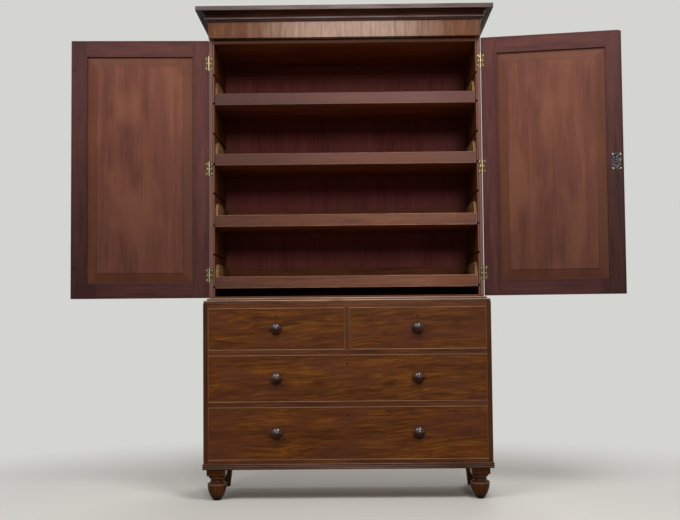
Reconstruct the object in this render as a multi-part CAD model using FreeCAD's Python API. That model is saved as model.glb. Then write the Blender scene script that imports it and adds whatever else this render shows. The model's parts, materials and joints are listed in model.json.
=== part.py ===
"""Linen press: a chest of four drawers that carries a cupboard with two doors and four sliding trays.

Millimetres. X runs along the front, to the right as one faces it. Y runs from the front to the back.
Z is up from the floor. The origin is on the floor at the middle of the width.
Everything that swings is built shut, where it fits its neighbours, and then turned to its open rest place.
"""
import FreeCAD, Part
import math
import os

V = FreeCAD.Vector

# ---------------------------------------------------------------- driving sizes
FRONT_Y = -180.0            # plane of the cupboard's front edges
FIT = 0.5                   # clearance of every sliding fit, each side
GLUE_GAP = 0.1              # play round tongues and tenons
PAST = 1.0                  # how far a cutting shape runs past the wood

# Chest
CHEST_OUT = 23.0            # how far the chest stands out past the cupboard's sides, front and back
CHEST_STEP = 42.0
CHEST_BEHIND = 2.0
CHEST_SIDE = 19.0
FOOT_HEIGHT = 132.0
BOTTOM_RAIL = 39.0
BOTTOM_RAIL_DEPTH = 24.0
BOTTOM_DRAWER = 222.0       # heights of the drawer openings
MIDDLE_DRAWER = 198.0
TOP_DRAWER = 179.0
RAIL = 20.0
RAIL_DEPTH = 60.0
TOP_RAIL = 23.0
CHEST_TOP = 16.0
CHEST_BACK = 12.0
BACK_BOARDS = 3
DIVIDER = 18.0
RUNNER_WIDTH = 40.0
MIDDLE_RUNNER_WIDTH = 62.0
DUST_BOARD = 6.0
BOTTOM_BOARD = 14.0
BOARD_TONGUE = 6.0          # how far the top and bottom boards enter the sides
CORNER_BLOCK = 75.0
GUIDE_HEIGHT = 12.0
TENON_LENGTH = 10.0
TENON_SHOULDER = 5.0        # wood left above and below a stub tenon
TENON_SETBACK = 12.0        # from the front edge to a stub tenon

# Mouldings of the chest
WAIST_LOW = 10.0            # height of the lower bead
WAIST_HIGH = 9.0            # height of the upper bead
WAIST_LOW_OUT = 21.0        # how far each bead reaches past the cupboard with its doors shut
WAIST_HIGH_OUT = 9.0
WAIST_SETBACK = 1.0         # from the chest's front to the lower bead
REED = 8.0                  # height of one reed of the base moulding
REED_COUNT = 3
REED_BACKING = 1.5
REED_BULGE = 3.0

# Feet
TURNED_BANDS = 3            # straight bands in each curve of a turned foot or knob
FOOT_BLOCK = 78.0
FOOT_BLOCK_HEIGHT = 27.0
FOOT_INSET = 51.0           # from the chest's side and front to a front foot's axis
FOOT_RING = 12.5            # heights of a front foot's ring, neck, slope and band, from the block down
FOOT_NECK = 14.0
FOOT_SLOPE = 7.0
FOOT_BAND = 6.0
FOOT_RING_RADIUS = 35.0
FOOT_NECK_RADIUS = 29.0
FOOT_BULB_RADIUS = 40.0
FOOT_TOE_RADIUS = 14.0
FOOT_RING_BOW = 4.0         # how far each curve stands out of a straight line
FOOT_NECK_BOW = 3.0
FOOT_BULB_BOW = 6.5
BACK_FOOT_TOP = 56.0
BACK_FOOT_TOE = 29.0
BACK_FOOT_INSET = 48.0

# Drawers
DRAWER_BACK_GAP = 30.0      # from a drawer's back to the chest's back boards
DRAWER_FRONT = 20.0
DRAWER_SIDE = 11.0
DRAWER_BOTTOM = 7.0
DRAWER_BOTTOM_UP = 9.0      # from a drawer's lower edge to its bottom board
DRAWER_LAP = 10.0           # wood left before the sides' front ends
DRAWER_BACK_LOW = 6.0       # how far a drawer's back stays below its sides
DRAWER_GROOVE = 5.0
DRAWER_GAP = 1.0            # round a drawer's front
TAILS_PITCH = 40.0          # largest distance between dovetails
TAIL_SHARE = 0.8            # of the pitch, taken by a tail at its wide end
TAIL_SLOPE = 1 / 7.0
STOP_LENGTH = 40.0
STOP_HEIGHT = 5.0
BEAD = 3.0                  # thickness of a cock bead
BEAD_PROUD = 2.5            # how far it stands out of the drawer front
BEAD_IN = 9.5               # how far it is let in

# Knobs, keyholes and locks
KNOB_RADIUS = 25.0
KNOB_RIM = 9.0              # radius of the rounding round a knob's edge
KNOB_DOME = 7.0             # height of the dome before that edge
KNOB_NECK = 11.0
KNOB_NECK_LENGTH = 9.0
KNOB_FLARE = 4.0            # how much wider the neck is at its ends
KNOB_PIN = 8.0
KNOB_IN = 290.0             # from a long drawer's end to its knob
KNOB_ABOVE = 2.0            # from the middle of an opening's height up to its knobs
KEY_DROP = 36.0             # from an opening's upper edge down to its keyhole
KEYHOLE_RADIUS = 3.0
KEYHOLE_SLOT = 3.0
KEYHOLE_DROP = 8.0
ESCUTCHEON_WALL = 1.2
ESCUTCHEON_DEPTH = 4.0
LOCK_WIDTH = 62.0
LOCK_HEIGHT = 48.0
LOCK_THICK = 9.0
LOCK_PIN_RADIUS = 1.8
BOLT_WIDTH = 22.0
BOLT_THICK = 5.0
BOLT_LENGTH = 22.0
BOLT_TRAVEL = 8.0

# Cupboard
PRESS_WIDTH = 1170.0
PRESS_HEIGHT = 1137.0
PRESS_DEPTH = 468.0
PRESS_SIDE = 22.0
PRESS_TOP = 18.0
PRESS_BOTTOM = 22.0
PRESS_BOTTOM_UP = 5.0       # from the chest's top to the cupboard's bottom board
HOUSING = 6.0               # depth of every groove across the cupboard's sides
SIDE_BEAD = 7.0             # bead on the inner front edge of each side
SIDE_QUIRK = 1.5
SIDE_ARRIS = 5.0
BACK_FRAME = 18.0
BACK_REBATE = 10.0
BACK_STILE = 73.0
BACK_MUNTIN = 76.0
BACK_RAIL = 75.0
BACK_PANEL = 8.0
BACK_PANEL_TONGUE = 8.0

# Grooves for the trays: every second one is left free
FIRST_GROOVE_UP = 36.0      # from the cupboard's floor to the lowest groove
LAST_GROOVE_DOWN = 140.0    # from its ceiling to the highest one
GROOVE_2_UP = 10.0          # how far the others lie above an even spacing, cut by hand
GROOVE_3_UP = 3.0
GROOVE_4_UP = 11.0
GROOVE_5_UP = 6.5
GROOVE_6_UP = 7.0
GROOVE_7_UP = 7.0

# Trays
TRAY_SETBACK = 12.0
TRAY_BACK_GAP = 14.0        # from a tray to the cupboard's back
TRAY_FRONT_HEIGHT = 50.0
TRAY_FRONT = 16.0
TRAY_LAP = 5.0
TRAY_SIDE = 11.0
TRAY_BOTTOM = 8.0
TRAY_NOSE = 55.0            # radius of the quarter round at the front of a tray's side
TRAY_EDGE = 3.0             # rounding of the front's upper edges
TRAY_END_GAP = 1.5

# Doors
DOOR_THICK = 22.0
DOOR_LOW = 22.0             # from the chest's top to the doors' lower edges
DOOR_HIGH = 4.0             # from the doors' upper edges to the frieze
DOOR_PLAY = 1.5             # between a shut door and the cupboard's front edges
STILE = 68.0
TOP_DOOR_RAIL = 69.0
BOTTOM_DOOR_RAIL = 65.0
DOOR_TENON = 45.0
DOOR_TENON_THICK = 7.0
DOOR_TENON_SHOULDER = 13.0
MEETING_REBATE = 10.0       # overlap of the two doors where they meet
MEETING_GAP = 1.0
STICKING = 5.0              # bevel planed round the panels on the doors' outer faces
PANEL = 15.0
PANEL_TONGUE = 8.0
PANEL_TONGUE_THICK = 6.0
PANEL_BEVEL = 43.0
PANEL_STEP = 2.0
PANEL_RECESS = 5.0          # from the frame's outer face to the panel's
LEFT_OPEN = 177.5           # how far each door stands open at rest, in degrees
RIGHT_OPEN = 169.4

# Hinges
HINGE_UP = 97.0             # from a door's lower edge to its lowest hinge
HINGE_DOWN = 99.0           # from its upper edge to the highest one
HINGE_HEIGHT = 61.0
HINGE_LEAF = 15.0
HINGE_LEAF_THICK = 1.8
KNUCKLE_RADIUS = 3.0
PIN_RADIUS = 1.4
PIN_PLAY = 0.06
KNUCKLE_GAP = 0.4
KNUCKLE_OUT = 0.5           # from the cupboard's side to the hinge axis
DOOR_EDGE_IN = 1.0          # from the hinge axis to a shut door's edge

# Door lock and flush bolts
DOOR_LOCK_WIDTH = 40.0
DOOR_LOCK_HEIGHT = 70.0
DOOR_LOCK_THICK = 9.0
DOOR_BOLT_HEIGHT = 26.0
DOOR_BOLT_LENGTH = 16.0
FLUSH_BOLT = 8.0            # a flush bolt is square
FLUSH_BOLT_LENGTH = 150.0
FLUSH_BOLT_TRAVEL = 12.0
FLUSH_BOLT_IN = 14.0        # from the left door's meeting edge to a flush bolt's axis
FLUSH_STUD = 4.0
FLUSH_STUD_UP = 14.0        # from a flush bolt's inner end to its stud

# Cornice
FRIEZE_IN = 1.0             # from the cupboard's side in to the frieze's
FRIEZE_HEIGHT = 68.0
FRIEZE_OUT = 30.0           # how far the frieze stands before the cupboard
FRIEZE_THICK = 36.0
FRIEZE_BACK = 20.0
CORNICE_HEIGHT = 58.0
CORNICE_OUT = 50.0
CORNICE_IN = 20.0
CORNICE_FASCIA = 18.0
CORNICE_OVOLO = 10.0
CORNICE_FILLET = 6.0
CORNICE_QUIRK = 4.0         # from the fillet up to the cove
CORNICE_COVE_IN = 12.0      # where the cove starts and ends, outwards from the frieze
CORNICE_COVE_OUT = 25.0
CORNICE_COVE_BOW = 4.5
CORNICE_DRIP = 2.0          # from the cove up to the fascia's underside
DUST_TOP = 8.0

# ---------------------------------------------------------------- levels and places that follow
HALF_PRESS = PRESS_WIDTH / 2
PRESS_IN = HALF_PRESS - PRESS_SIDE
PRESS_END = FRONT_Y + PRESS_DEPTH
BACK_FRAME_Y = PRESS_END - BACK_FRAME
HALF_CHEST = HALF_PRESS + CHEST_OUT
CHEST_IN = HALF_CHEST - CHEST_SIDE
CHEST_FRONT = FRONT_Y - CHEST_STEP
CHEST_END = PRESS_END + CHEST_BEHIND
CHEST_BACK_Y = CHEST_END - CHEST_BACK
BOTTOM_Z = FOOT_HEIGHT + BOTTOM_RAIL
LOWER_RAIL_Z = BOTTOM_Z + BOTTOM_DRAWER
MIDDLE_Z = LOWER_RAIL_Z + RAIL
UPPER_RAIL_Z = MIDDLE_Z + MIDDLE_DRAWER
TOP_Z = UPPER_RAIL_Z + RAIL
TOP_RAIL_Z = TOP_Z + TOP_DRAWER
CHEST_TOP_Z = TOP_RAIL_Z + TOP_RAIL
PRESS_TOP_Z = CHEST_TOP_Z + PRESS_HEIGHT
PRESS_FLOOR_Z = CHEST_TOP_Z + PRESS_BOTTOM_UP + PRESS_BOTTOM
PRESS_CEILING_Z = PRESS_TOP_Z - PRESS_TOP
DOOR_LOW_Z = CHEST_TOP_Z + DOOR_LOW
DOOR_HIGH_Z = PRESS_TOP_Z - DOOR_HIGH
DOOR_IN_Y = FRONT_Y - DOOR_PLAY
DOOR_OUT_Y = DOOR_IN_Y - DOOR_THICK
HINGE_X = HALF_PRESS + KNUCKLE_OUT
HINGE_Y = FRONT_Y - DOOR_PLAY / 2
DOOR_EDGE_X = HINGE_X - DOOR_EDGE_IN
LOCK_Z = (DOOR_LOW_Z + DOOR_HIGH_Z) / 2
LOW_HINGE_Z = DOOR_LOW_Z + HINGE_UP
HIGH_HINGE_Z = DOOR_HIGH_Z - HINGE_DOWN
HINGE_LEVELS = (LOW_HINGE_Z, (LOW_HINGE_Z + HIGH_HINGE_Z) / 2, HIGH_HINGE_Z)
FRIEZE_Y = FRONT_Y - FRIEZE_OUT
HALF_FRIEZE = HALF_PRESS - FRIEZE_IN
CORNICE_Z = PRESS_TOP_Z + FRIEZE_HEIGHT
DRAWER_BACK_Y = CHEST_BACK_Y - DRAWER_BACK_GAP
TRAY_FRONT_Y = FRONT_Y + TRAY_SETBACK
TRAY_BACK_Y = BACK_FRAME_Y - TRAY_BACK_GAP
GROOVE_SHIFTS = (0, GROOVE_2_UP, GROOVE_3_UP, GROOVE_4_UP, GROOVE_5_UP, GROOVE_6_UP, GROOVE_7_UP, 0)
FIRST_GROOVE_Z = PRESS_FLOOR_Z + FIRST_GROOVE_UP
GROOVE_PITCH = (PRESS_CEILING_Z - LAST_GROOVE_DOWN - FIRST_GROOVE_Z) / (len(GROOVE_SHIFTS) - 1)
GROOVE_LEVELS = [FIRST_GROOVE_Z + index * GROOVE_PITCH + shift for index, shift in enumerate(GROOVE_SHIFTS)]
TRAY_LEVELS = GROOVE_LEVELS[::2]


# ---------------------------------------------------------------- shapes
def box(x0, x1, y0, y1, z0, z1):
    """A block between two corners."""
    return Part.makeBox(x1 - x0, y1 - y0, z1 - z0, V(x0, y0, z0))


def rod(radius, start, end):
    """A round bar from one point to another."""
    return Part.makeCylinder(radius, (end - start).Length, start, end - start)


def arc_to(start, centre, end):
    """A step of an outline: the short arc from start to end about centre."""
    radius = math.dist(start, centre)
    across = (start[0] + end[0]) / 2 - centre[0]
    along = (start[1] + end[1]) / 2 - centre[1]
    reach = math.hypot(across, along)
    middle = (centre[0] + across / reach * radius, centre[1] + along / reach * radius)
    return (middle, end)


def bulge_to(middle, end):
    """A step of an outline: the arc through a middle point to an end point."""
    return (middle, end)


def arc_centre(start, end, bow):
    """The centre of the arc whose middle stands bow to the right of the straight line."""
    length = math.dist(start, end)
    back = bow - (length ** 2 / 4 + bow ** 2) / (2 * bow)
    across = (end[1] - start[1]) / length
    along = (start[0] - end[0]) / length
    return ((start[0] + end[0]) / 2 + across * back, (start[1] + end[1]) / 2 + along * back)


def bands(start, centre, end):
    """Steps of an outline: straight bands along the short arc from start to end about centre."""
    first = math.atan2(start[1] - centre[1], start[0] - centre[0])
    turn_by = math.atan2(end[1] - centre[1], end[0] - centre[0]) - first
    turn_by = (turn_by + math.pi) % (2 * math.pi) - math.pi
    radius = math.dist(start, centre)
    steps = []
    for index in range(1, TURNED_BANDS):
        angle = first + turn_by * index / TURNED_BANDS
        steps.append((centre[0] + radius * math.cos(angle), centre[1] + radius * math.sin(angle)))
    return steps + [end]


def outline(start, steps, place):
    """A closed wire. A step is an end point, or the middle and end of an arc."""
    edges = []
    here = start
    for step in steps + [start]:
        if isinstance(step[0], tuple):
            middle, end = step
            edges.append(Part.Arc(place(*here), place(*middle), place(*end)).toShape())
            here = end
        elif math.dist(here, step) > 1e-6:
            edges.append(Part.LineSegment(place(*here), place(*step)).toShape())
            here = step
    return Part.Wire(edges)


def extrude(start, steps, place, run):
    """A solid: the outline, placed, then run along a vector."""
    return Part.Face(outline(start, steps, place)).extrude(run)


def turn(start, steps, centre, direction, side):
    """A solid of revolution: the outline holds (radius, height along direction)."""
    def place(radius, height):
        return centre + side * radius + direction * height
    return Part.Face(outline(start, steps, place)).revolve(centre, direction, 360)


def join(first, *others):
    """One solid from pieces that touch or overlap."""
    return first.fuse(list(others)).removeSplitter()


def mirrored(shape):
    """The same piece on the other side of the middle."""
    return shape.mirror(V(0, 0, 0), V(1, 0, 0))


def soften(shape, radius, wanted):
    """Round the edges that wanted() picks by their middle point and direction."""
    edges = []
    for edge in shape.Edges:
        middle = edge.valueAt((edge.FirstParameter + edge.LastParameter) / 2)
        direction = edge.tangentAt(edge.FirstParameter)
        if wanted(middle, direction):
            edges.append(edge)
    return shape.makeFillet(radius, edges)


def save(name, solids):
    """Write one node, as one solid or as a group of separate solids."""
    shape = solids[0] if len(solids) == 1 else Part.makeCompound(solids)
    shape.exportStep(f"parts/{name}.step")


def mitred_front(start, steps, half_width, front, reach, height):
    """A moulding's front run, mitred at both ends. The outline holds (distance out, height)."""
    def place(out, up):
        return V(-half_width - reach, front - out, up)
    run = extrude(start, steps, place, V(2 * (half_width + reach), 0, 0))
    for side in (-1, 1):
        corner = [(side * (half_width - reach), front + reach), (side * (half_width + reach), front - reach),
                  (side * (half_width + reach), front + reach)]
        run = run.cut(prism(corner, height[0] - PAST, height[1] + PAST))
    return run


def mitred_return(start, steps, half_width, front, reach, height, back):
    """The same moulding's right-hand return, mitred at its front end and square at the back."""
    def place(out, up):
        return V(half_width + out, front - reach, up)
    run = extrude(start, steps, place, V(0, back - front + reach, 0))
    corner = [(half_width - reach, front + reach), (half_width - reach, front - reach),
              (half_width + reach, front - reach)]
    return run.cut(prism(corner, height[0] - PAST, height[1] + PAST))


def prism(corners, low, high):
    """An upright prism on a polygon of (x, y) corners."""
    def place(x, y):
        return V(x, y, low)
    return extrude(corners[0], list(corners[1:]), place, V(0, 0, high - low))


def three_sided(start, steps, half_width, front, reach, height, back):
    """Front run, left return and right return of one moulding."""
    right = mitred_return(start, steps, half_width, front, reach, height, back)
    return [mitred_front(start, steps, half_width, front, reach, height), mirrored(right), right]


# ---------------------------------------------------------------- chest
def rail_mortise(z, height, depth):
    """The hole in the right side for a rail's stub tenon."""
    return box(CHEST_IN, CHEST_IN + TENON_LENGTH + GLUE_GAP, CHEST_FRONT + TENON_SETBACK - GLUE_GAP,
               CHEST_FRONT + depth, z + TENON_SHOULDER - GLUE_GAP, z + height - TENON_SHOULDER + GLUE_GAP)


def rail(z, height, depth):
    """A front rail of the chest with a stub tenon at each end."""
    body = box(-CHEST_IN, CHEST_IN, CHEST_FRONT, CHEST_FRONT + depth, z, z + height)
    reach = CHEST_IN + TENON_LENGTH
    tenon = box(-reach, reach, CHEST_FRONT + TENON_SETBACK, CHEST_FRONT + depth,
                z + TENON_SHOULDER, z + height - TENON_SHOULDER)
    return join(body, tenon)


def bolt_mortise(x, z):
    """The hole over a drawer lock, for its bolt to shoot into. z is the rail's underside."""
    shot = drawer_bolt(x, z - DRAWER_GAP, FIT)
    shot.translate(V(0, 0, BOLT_TRAVEL))
    return shot


def lock_bolt_y():
    """The middle of a drawer lock's bolt, front to back."""
    return CHEST_FRONT + DRAWER_FRONT - LOCK_THICK / 2


def short_drawer_middle():
    """The middle of the right-hand short drawer."""
    return (CHEST_IN + DIVIDER / 2) / 2


def chest():
    """Sides, rails, dust frames, top and back of the chest."""
    rails = ((BOTTOM_RAIL, FOOT_HEIGHT, BOTTOM_RAIL_DEPTH), (RAIL, LOWER_RAIL_Z, RAIL_DEPTH),
             (RAIL, UPPER_RAIL_Z, RAIL_DEPTH), (TOP_RAIL, TOP_RAIL_Z, RAIL_DEPTH))
    side = box(CHEST_IN, HALF_CHEST, CHEST_FRONT, CHEST_END, FOOT_HEIGHT, CHEST_TOP_Z)
    rebate = box(CHEST_IN, CHEST_IN + CHEST_SIDE / 2, CHEST_BACK_Y, CHEST_END, FOOT_HEIGHT, CHEST_TOP_Z)
    side = side.cut(rebate)
    side = side.cut([chest_top_board(GLUE_GAP), chest_bottom_board(GLUE_GAP)])
    for height, z, depth in rails:
        side = side.cut(rail_mortise(z, height, depth))
    save("chest_sides", [mirrored(side), side])

    pieces = []
    pair = (-short_drawer_middle(), short_drawer_middle())
    keys = {LOWER_RAIL_Z: (0,), UPPER_RAIL_Z: (0,), TOP_RAIL_Z: pair}
    for height, z, depth in rails:
        piece = rail(z, height, depth)
        for x in keys.get(z, ()):
            piece = piece.cut(bolt_mortise(x, z))
        if z in (LOWER_RAIL_Z, UPPER_RAIL_Z):
            piece = piece.cut(dust_board(z, GLUE_GAP))
        pieces.append(piece)
    divider = box(-DIVIDER / 2, DIVIDER / 2, CHEST_FRONT, CHEST_FRONT + RAIL_DEPTH, TOP_Z, TOP_RAIL_Z)
    save("chest_front_frame", pieces + [divider])

    frames = []
    for z in (LOWER_RAIL_Z, UPPER_RAIL_Z):
        frames += dust_frame(z)
    guide = box(-DIVIDER / 2, DIVIDER / 2, CHEST_FRONT + RAIL_DEPTH, CHEST_BACK_Y,
                TOP_Z, TOP_Z + GUIDE_HEIGHT)
    frames.append(guide)
    frames.append(chest_bottom_board(0))
    save("chest_dust_frames", frames + drawer_stops() + corner_blocks())

    save("chest_top", [chest_top_board(0)])
    save("chest_back", back_boards())


def chest_top_board(play):
    """The board that carries the cupboard, lapped into the sides' upper edges."""
    reach = CHEST_IN + BOARD_TONGUE + play
    return box(-reach, reach, CHEST_FRONT + RAIL_DEPTH, CHEST_BACK_Y,
               CHEST_TOP_Z - CHEST_TOP - play, CHEST_TOP_Z)


def chest_bottom_board(play):
    """The board under the bottom drawer, with its ends in grooves of the sides."""
    reach = CHEST_IN + BOARD_TONGUE + play
    return box(-reach, reach, CHEST_FRONT + BOTTOM_RAIL_DEPTH, CHEST_BACK_Y, BOTTOM_Z - BOTTOM_BOARD - play,
               BOTTOM_Z + play)


def corner_blocks():
    """Blocks inside the chest's lower corners, which the feet are fixed to."""
    front = CHEST_FRONT + BOTTOM_RAIL_DEPTH
    blocks = []
    for y0, y1 in ((front, front + CORNER_BLOCK), (CHEST_BACK_Y - CORNER_BLOCK, CHEST_BACK_Y)):
        block = box(CHEST_IN - CORNER_BLOCK, CHEST_IN, y0, y1, FOOT_HEIGHT, BOTTOM_Z - BOTTOM_BOARD)
        blocks += [mirrored(block), block]
    return blocks


def dust_board(z, play):
    """The thin board between the runners of one frame, with its tongues."""
    reach = CHEST_IN - RUNNER_WIDTH + DUST_BOARD + play
    middle = z + RAIL / 2
    return box(-reach, reach, CHEST_FRONT + RAIL_DEPTH - DUST_BOARD - play, CHEST_BACK_Y,
               middle - DUST_BOARD / 2 - play, middle + DUST_BOARD / 2 + play)


def dust_frame(z):
    """Runners and dust board behind one rail. The frame of the short drawers has a middle runner."""
    back = CHEST_FRONT + RAIL_DEPTH
    runner = box(CHEST_IN - RUNNER_WIDTH, CHEST_IN, back, CHEST_BACK_Y, z, z + RAIL)
    runner = runner.cut(dust_board(z, GLUE_GAP))
    pieces = [mirrored(runner), runner]
    board = dust_board(z, 0)
    if z == UPPER_RAIL_Z:
        middle = box(-MIDDLE_RUNNER_WIDTH / 2, MIDDLE_RUNNER_WIDTH / 2, back, CHEST_BACK_Y, z, z + RAIL)
        gap = MIDDLE_RUNNER_WIDTH / 2 - DUST_BOARD
        board_right = board.cut(box(-HALF_CHEST, gap, CHEST_FRONT, CHEST_END, z, z + RAIL))
        tongue = box(gap - GLUE_GAP, MIDDLE_RUNNER_WIDTH / 2, back, CHEST_BACK_Y,
                     z + (RAIL - DUST_BOARD) / 2 - GLUE_GAP, z + (RAIL + DUST_BOARD) / 2 + GLUE_GAP)
        pieces.append(middle.cut(tongue).cut(mirrored(tongue)))
        return pieces + [mirrored(board_right), board_right]
    return pieces + [board]


def drawer_stops():
    """Small blocks on the rails that the drawer fronts come to rest against."""
    stops = []
    y = CHEST_FRONT + DRAWER_FRONT + FIT
    middles = {MIDDLE_Z: (-CHEST_IN / 2, CHEST_IN / 2),
               TOP_Z: (-short_drawer_middle(), short_drawer_middle())}
    for z, places in middles.items():
        for x in places:
            stops.append(box(x - STOP_LENGTH / 2, x + STOP_LENGTH / 2, y, CHEST_FRONT + RAIL_DEPTH,
                             z, z + STOP_HEIGHT))
    for x in (-CHEST_IN / 2, CHEST_IN / 2):
        stops.append(box(x - STOP_LENGTH / 2, x + STOP_LENGTH / 2, CHEST_FRONT + BOTTOM_RAIL_DEPTH,
                         CHEST_FRONT + RAIL_DEPTH, BOTTOM_Z, BOTTOM_Z + STOP_HEIGHT))
    return stops


def back_boards():
    """Level boards across the chest's back, in the sides' rebates."""
    reach = CHEST_IN + CHEST_SIDE / 2 - GLUE_GAP
    height = (CHEST_TOP_Z - FOOT_HEIGHT) / BACK_BOARDS
    boards = []
    for level in range(BACK_BOARDS):
        z = FOOT_HEIGHT + level * height
        boards.append(box(-reach, reach, CHEST_BACK_Y, CHEST_END, z, z + height))
    return boards


def waist_moulding():
    """Two half-round beads, one stepped in above the other, round the cupboard's foot."""
    low = CHEST_TOP_Z
    mid = low + WAIST_LOW
    high = mid + WAIST_HIGH
    low_flat = WAIST_LOW_OUT - WAIST_LOW / 2
    high_flat = WAIST_HIGH_OUT - WAIST_HIGH / 2
    steps = [
        (low_flat, low),
        bulge_to((WAIST_LOW_OUT, low + WAIST_LOW / 2), (low_flat, mid)),
        (high_flat, mid),
        bulge_to((WAIST_HIGH_OUT, mid + WAIST_HIGH / 2), (high_flat, high)),
        (0, high),
    ]
    door_line = CHEST_FRONT + WAIST_SETBACK + WAIST_LOW_OUT
    front, left, right = three_sided((0, low), steps, HALF_PRESS, door_line, WAIST_LOW_OUT + PAST,
                                     (low, high), PRESS_END)
    ledge = box(-HALF_PRESS, HALF_PRESS, door_line, FRONT_Y, low, high)
    front = join(front, ledge)
    front = front.cut(flush_socket(DOOR_LOW_Z, -1))
    save("waist_moulding", [front, left, right])


def base_moulding():
    """Three reeds planted round the foot of the chest."""
    steps = [(REED_BACKING, FOOT_HEIGHT)]
    for index in range(REED_COUNT):
        low = FOOT_HEIGHT + index * REED
        steps.append(bulge_to((REED_BACKING + REED_BULGE, low + REED / 2), (REED_BACKING, low + REED)))
    high = FOOT_HEIGHT + REED_COUNT * REED
    steps.append((0, high))
    reach = REED_BACKING + REED_BULGE + PAST
    save("base_moulding", three_sided((0, FOOT_HEIGHT), steps, HALF_CHEST, CHEST_FRONT, reach,
                                      (FOOT_HEIGHT, high), CHEST_END))


def front_foot(x):
    """A turned foot: block, ring, neck and a top-shaped bulb, all of one piece."""
    y = CHEST_FRONT + FOOT_INSET
    block_z = FOOT_HEIGHT - FOOT_BLOCK_HEIGHT
    half = FOOT_BLOCK / 2
    block = box(x - half, x + half, y - half, y + half, block_z, FOOT_HEIGHT)
    ring_z = block_z - FOOT_RING
    neck_z = ring_z - FOOT_NECK
    band_z = neck_z - FOOT_SLOPE
    toe = (FOOT_TOE_RADIUS, 0)
    bulb = (FOOT_BULB_RADIUS, band_z - FOOT_BAND)
    neck = (FOOT_NECK_RADIUS, neck_z)
    ring = (FOOT_RING_RADIUS - FOOT_RING_BOW, ring_z)
    ring_top = (FOOT_RING_RADIUS - FOOT_RING_BOW, block_z)
    steps = [
        toe,
        *bands(toe, arc_centre(toe, bulb, FOOT_BULB_BOW), bulb),
        (FOOT_BULB_RADIUS, band_z),
        neck,
        *bands(neck, arc_centre(neck, ring, -FOOT_NECK_BOW), ring),
        *bands(ring, arc_centre(ring, ring_top, FOOT_RING_BOW), ring_top),
        (0, block_z),
    ]
    turned = turn((0, 0), steps, V(x, y, 0), V(0, 0, 1), V(1, 0, 0))
    return join(block, turned)


def back_foot(x):
    """A plain foot, sawn to taper on all four sides."""
    y = CHEST_END - BACK_FOOT_INSET
    sections = []
    for size, z in ((BACK_FOOT_TOE, 0), (BACK_FOOT_TOP, FOOT_HEIGHT)):
        half = size / 2
        corners = [V(x - half, y - half, z), V(x + half, y - half, z), V(x + half, y + half, z),
                   V(x - half, y + half, z)]
        sections.append(Part.makePolygon(corners + corners[:1]))
    return Part.makeLoft(sections, True, True)


def feet():
    """Two turned feet at the front and two plain ones at the back."""
    front = HALF_CHEST - FOOT_INSET
    back = HALF_CHEST - BACK_FOOT_INSET
    save("feet_front", [front_foot(-front), front_foot(front)])
    save("feet_back", [back_foot(-back), back_foot(back)])


# ---------------------------------------------------------------- drawers
def keyhole(x, front, z, grow, depth):
    """The keyhole's outline grown by a wall, run in from the front."""
    eye = rod(KEYHOLE_RADIUS + grow, V(x, front, z), V(x, front + depth, z))
    slot = box(x - KEYHOLE_SLOT / 2 - grow, x + KEYHOLE_SLOT / 2 + grow, front, front + depth,
               z - KEYHOLE_DROP - grow, z)
    return join(eye, slot)


def key_slot(x, front, z, depth):
    """The plain slot in a lock's case that the key turns in, round its pin."""
    return box(x - KEYHOLE_RADIUS, x + KEYHOLE_RADIUS, front, front + depth,
               z - KEYHOLE_DROP, z + KEYHOLE_RADIUS)


def escutcheon(x, front, z):
    """A thin brass rim let in round the keyhole."""
    rim = keyhole(x, front, z, ESCUTCHEON_WALL, ESCUTCHEON_DEPTH)
    return rim.cut(keyhole(x, front, z, 0, ESCUTCHEON_DEPTH))


def knob(x, z):
    """A turned knob: pin, hollow neck, rounded rim and a low dome that runs on from the rim."""
    neck_foot = (KNOB_NECK + KNOB_FLARE, 0)
    neck_top = (KNOB_NECK + KNOB_FLARE, KNOB_NECK_LENGTH)
    rim_x = KNOB_RADIUS - KNOB_RIM
    rim_up = KNOB_NECK_LENGTH + KNOB_RIM
    top = rim_up + KNOB_RIM + KNOB_DOME
    below = (rim_x ** 2 - KNOB_DOME ** 2) / (2 * KNOB_DOME)
    dome_radius = math.hypot(rim_x, below) + KNOB_RIM
    stretch = dome_radius / (dome_radius - KNOB_RIM)
    dome_centre = (0, rim_up - below)
    meeting = (rim_x * stretch, rim_up - below + below * stretch)
    rim_centre = (rim_x, rim_up)
    widest = (KNOB_RADIUS, rim_up)
    steps = [
        (KNOB_PIN, -DRAWER_FRONT),
        (KNOB_PIN, 0),
        neck_foot,
        *bands(neck_foot, arc_centre(neck_foot, neck_top, -KNOB_FLARE), neck_top),
        (rim_x, KNOB_NECK_LENGTH),
        *bands((rim_x, KNOB_NECK_LENGTH), rim_centre, widest),
        *bands(widest, rim_centre, meeting),
        *bands(meeting, dome_centre, (0, top)),
    ]
    return turn((0, -DRAWER_FRONT), steps, V(x, CHEST_FRONT, z), V(0, -1, 0), V(1, 0, 0))


def tails(x_end, inward, z0, z1):
    """Dovetails at a drawer's front corner: wedge-shaped prisms that run across the side's thickness."""
    count = max(2, math.ceil((z1 - z0) / TAILS_PITCH))
    pitch = (z1 - z0) / count
    depth = DRAWER_FRONT - DRAWER_LAP
    root = CHEST_FRONT + DRAWER_FRONT
    pieces = []
    for index in range(count):
        middle = z0 + (index + 0.5) * pitch
        wide = pitch * TAIL_SHARE / 2
        narrow = wide - depth * TAIL_SLOPE

        def place(y, z):
            return V(x_end, y, z)
        steps = [(root - depth, middle - wide), (root - depth, middle + wide), (root, middle + narrow)]
        pieces.append(extrude((root, middle - narrow), steps, place, V(inward * DRAWER_SIDE, 0, 0)))
    return pieces


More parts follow.
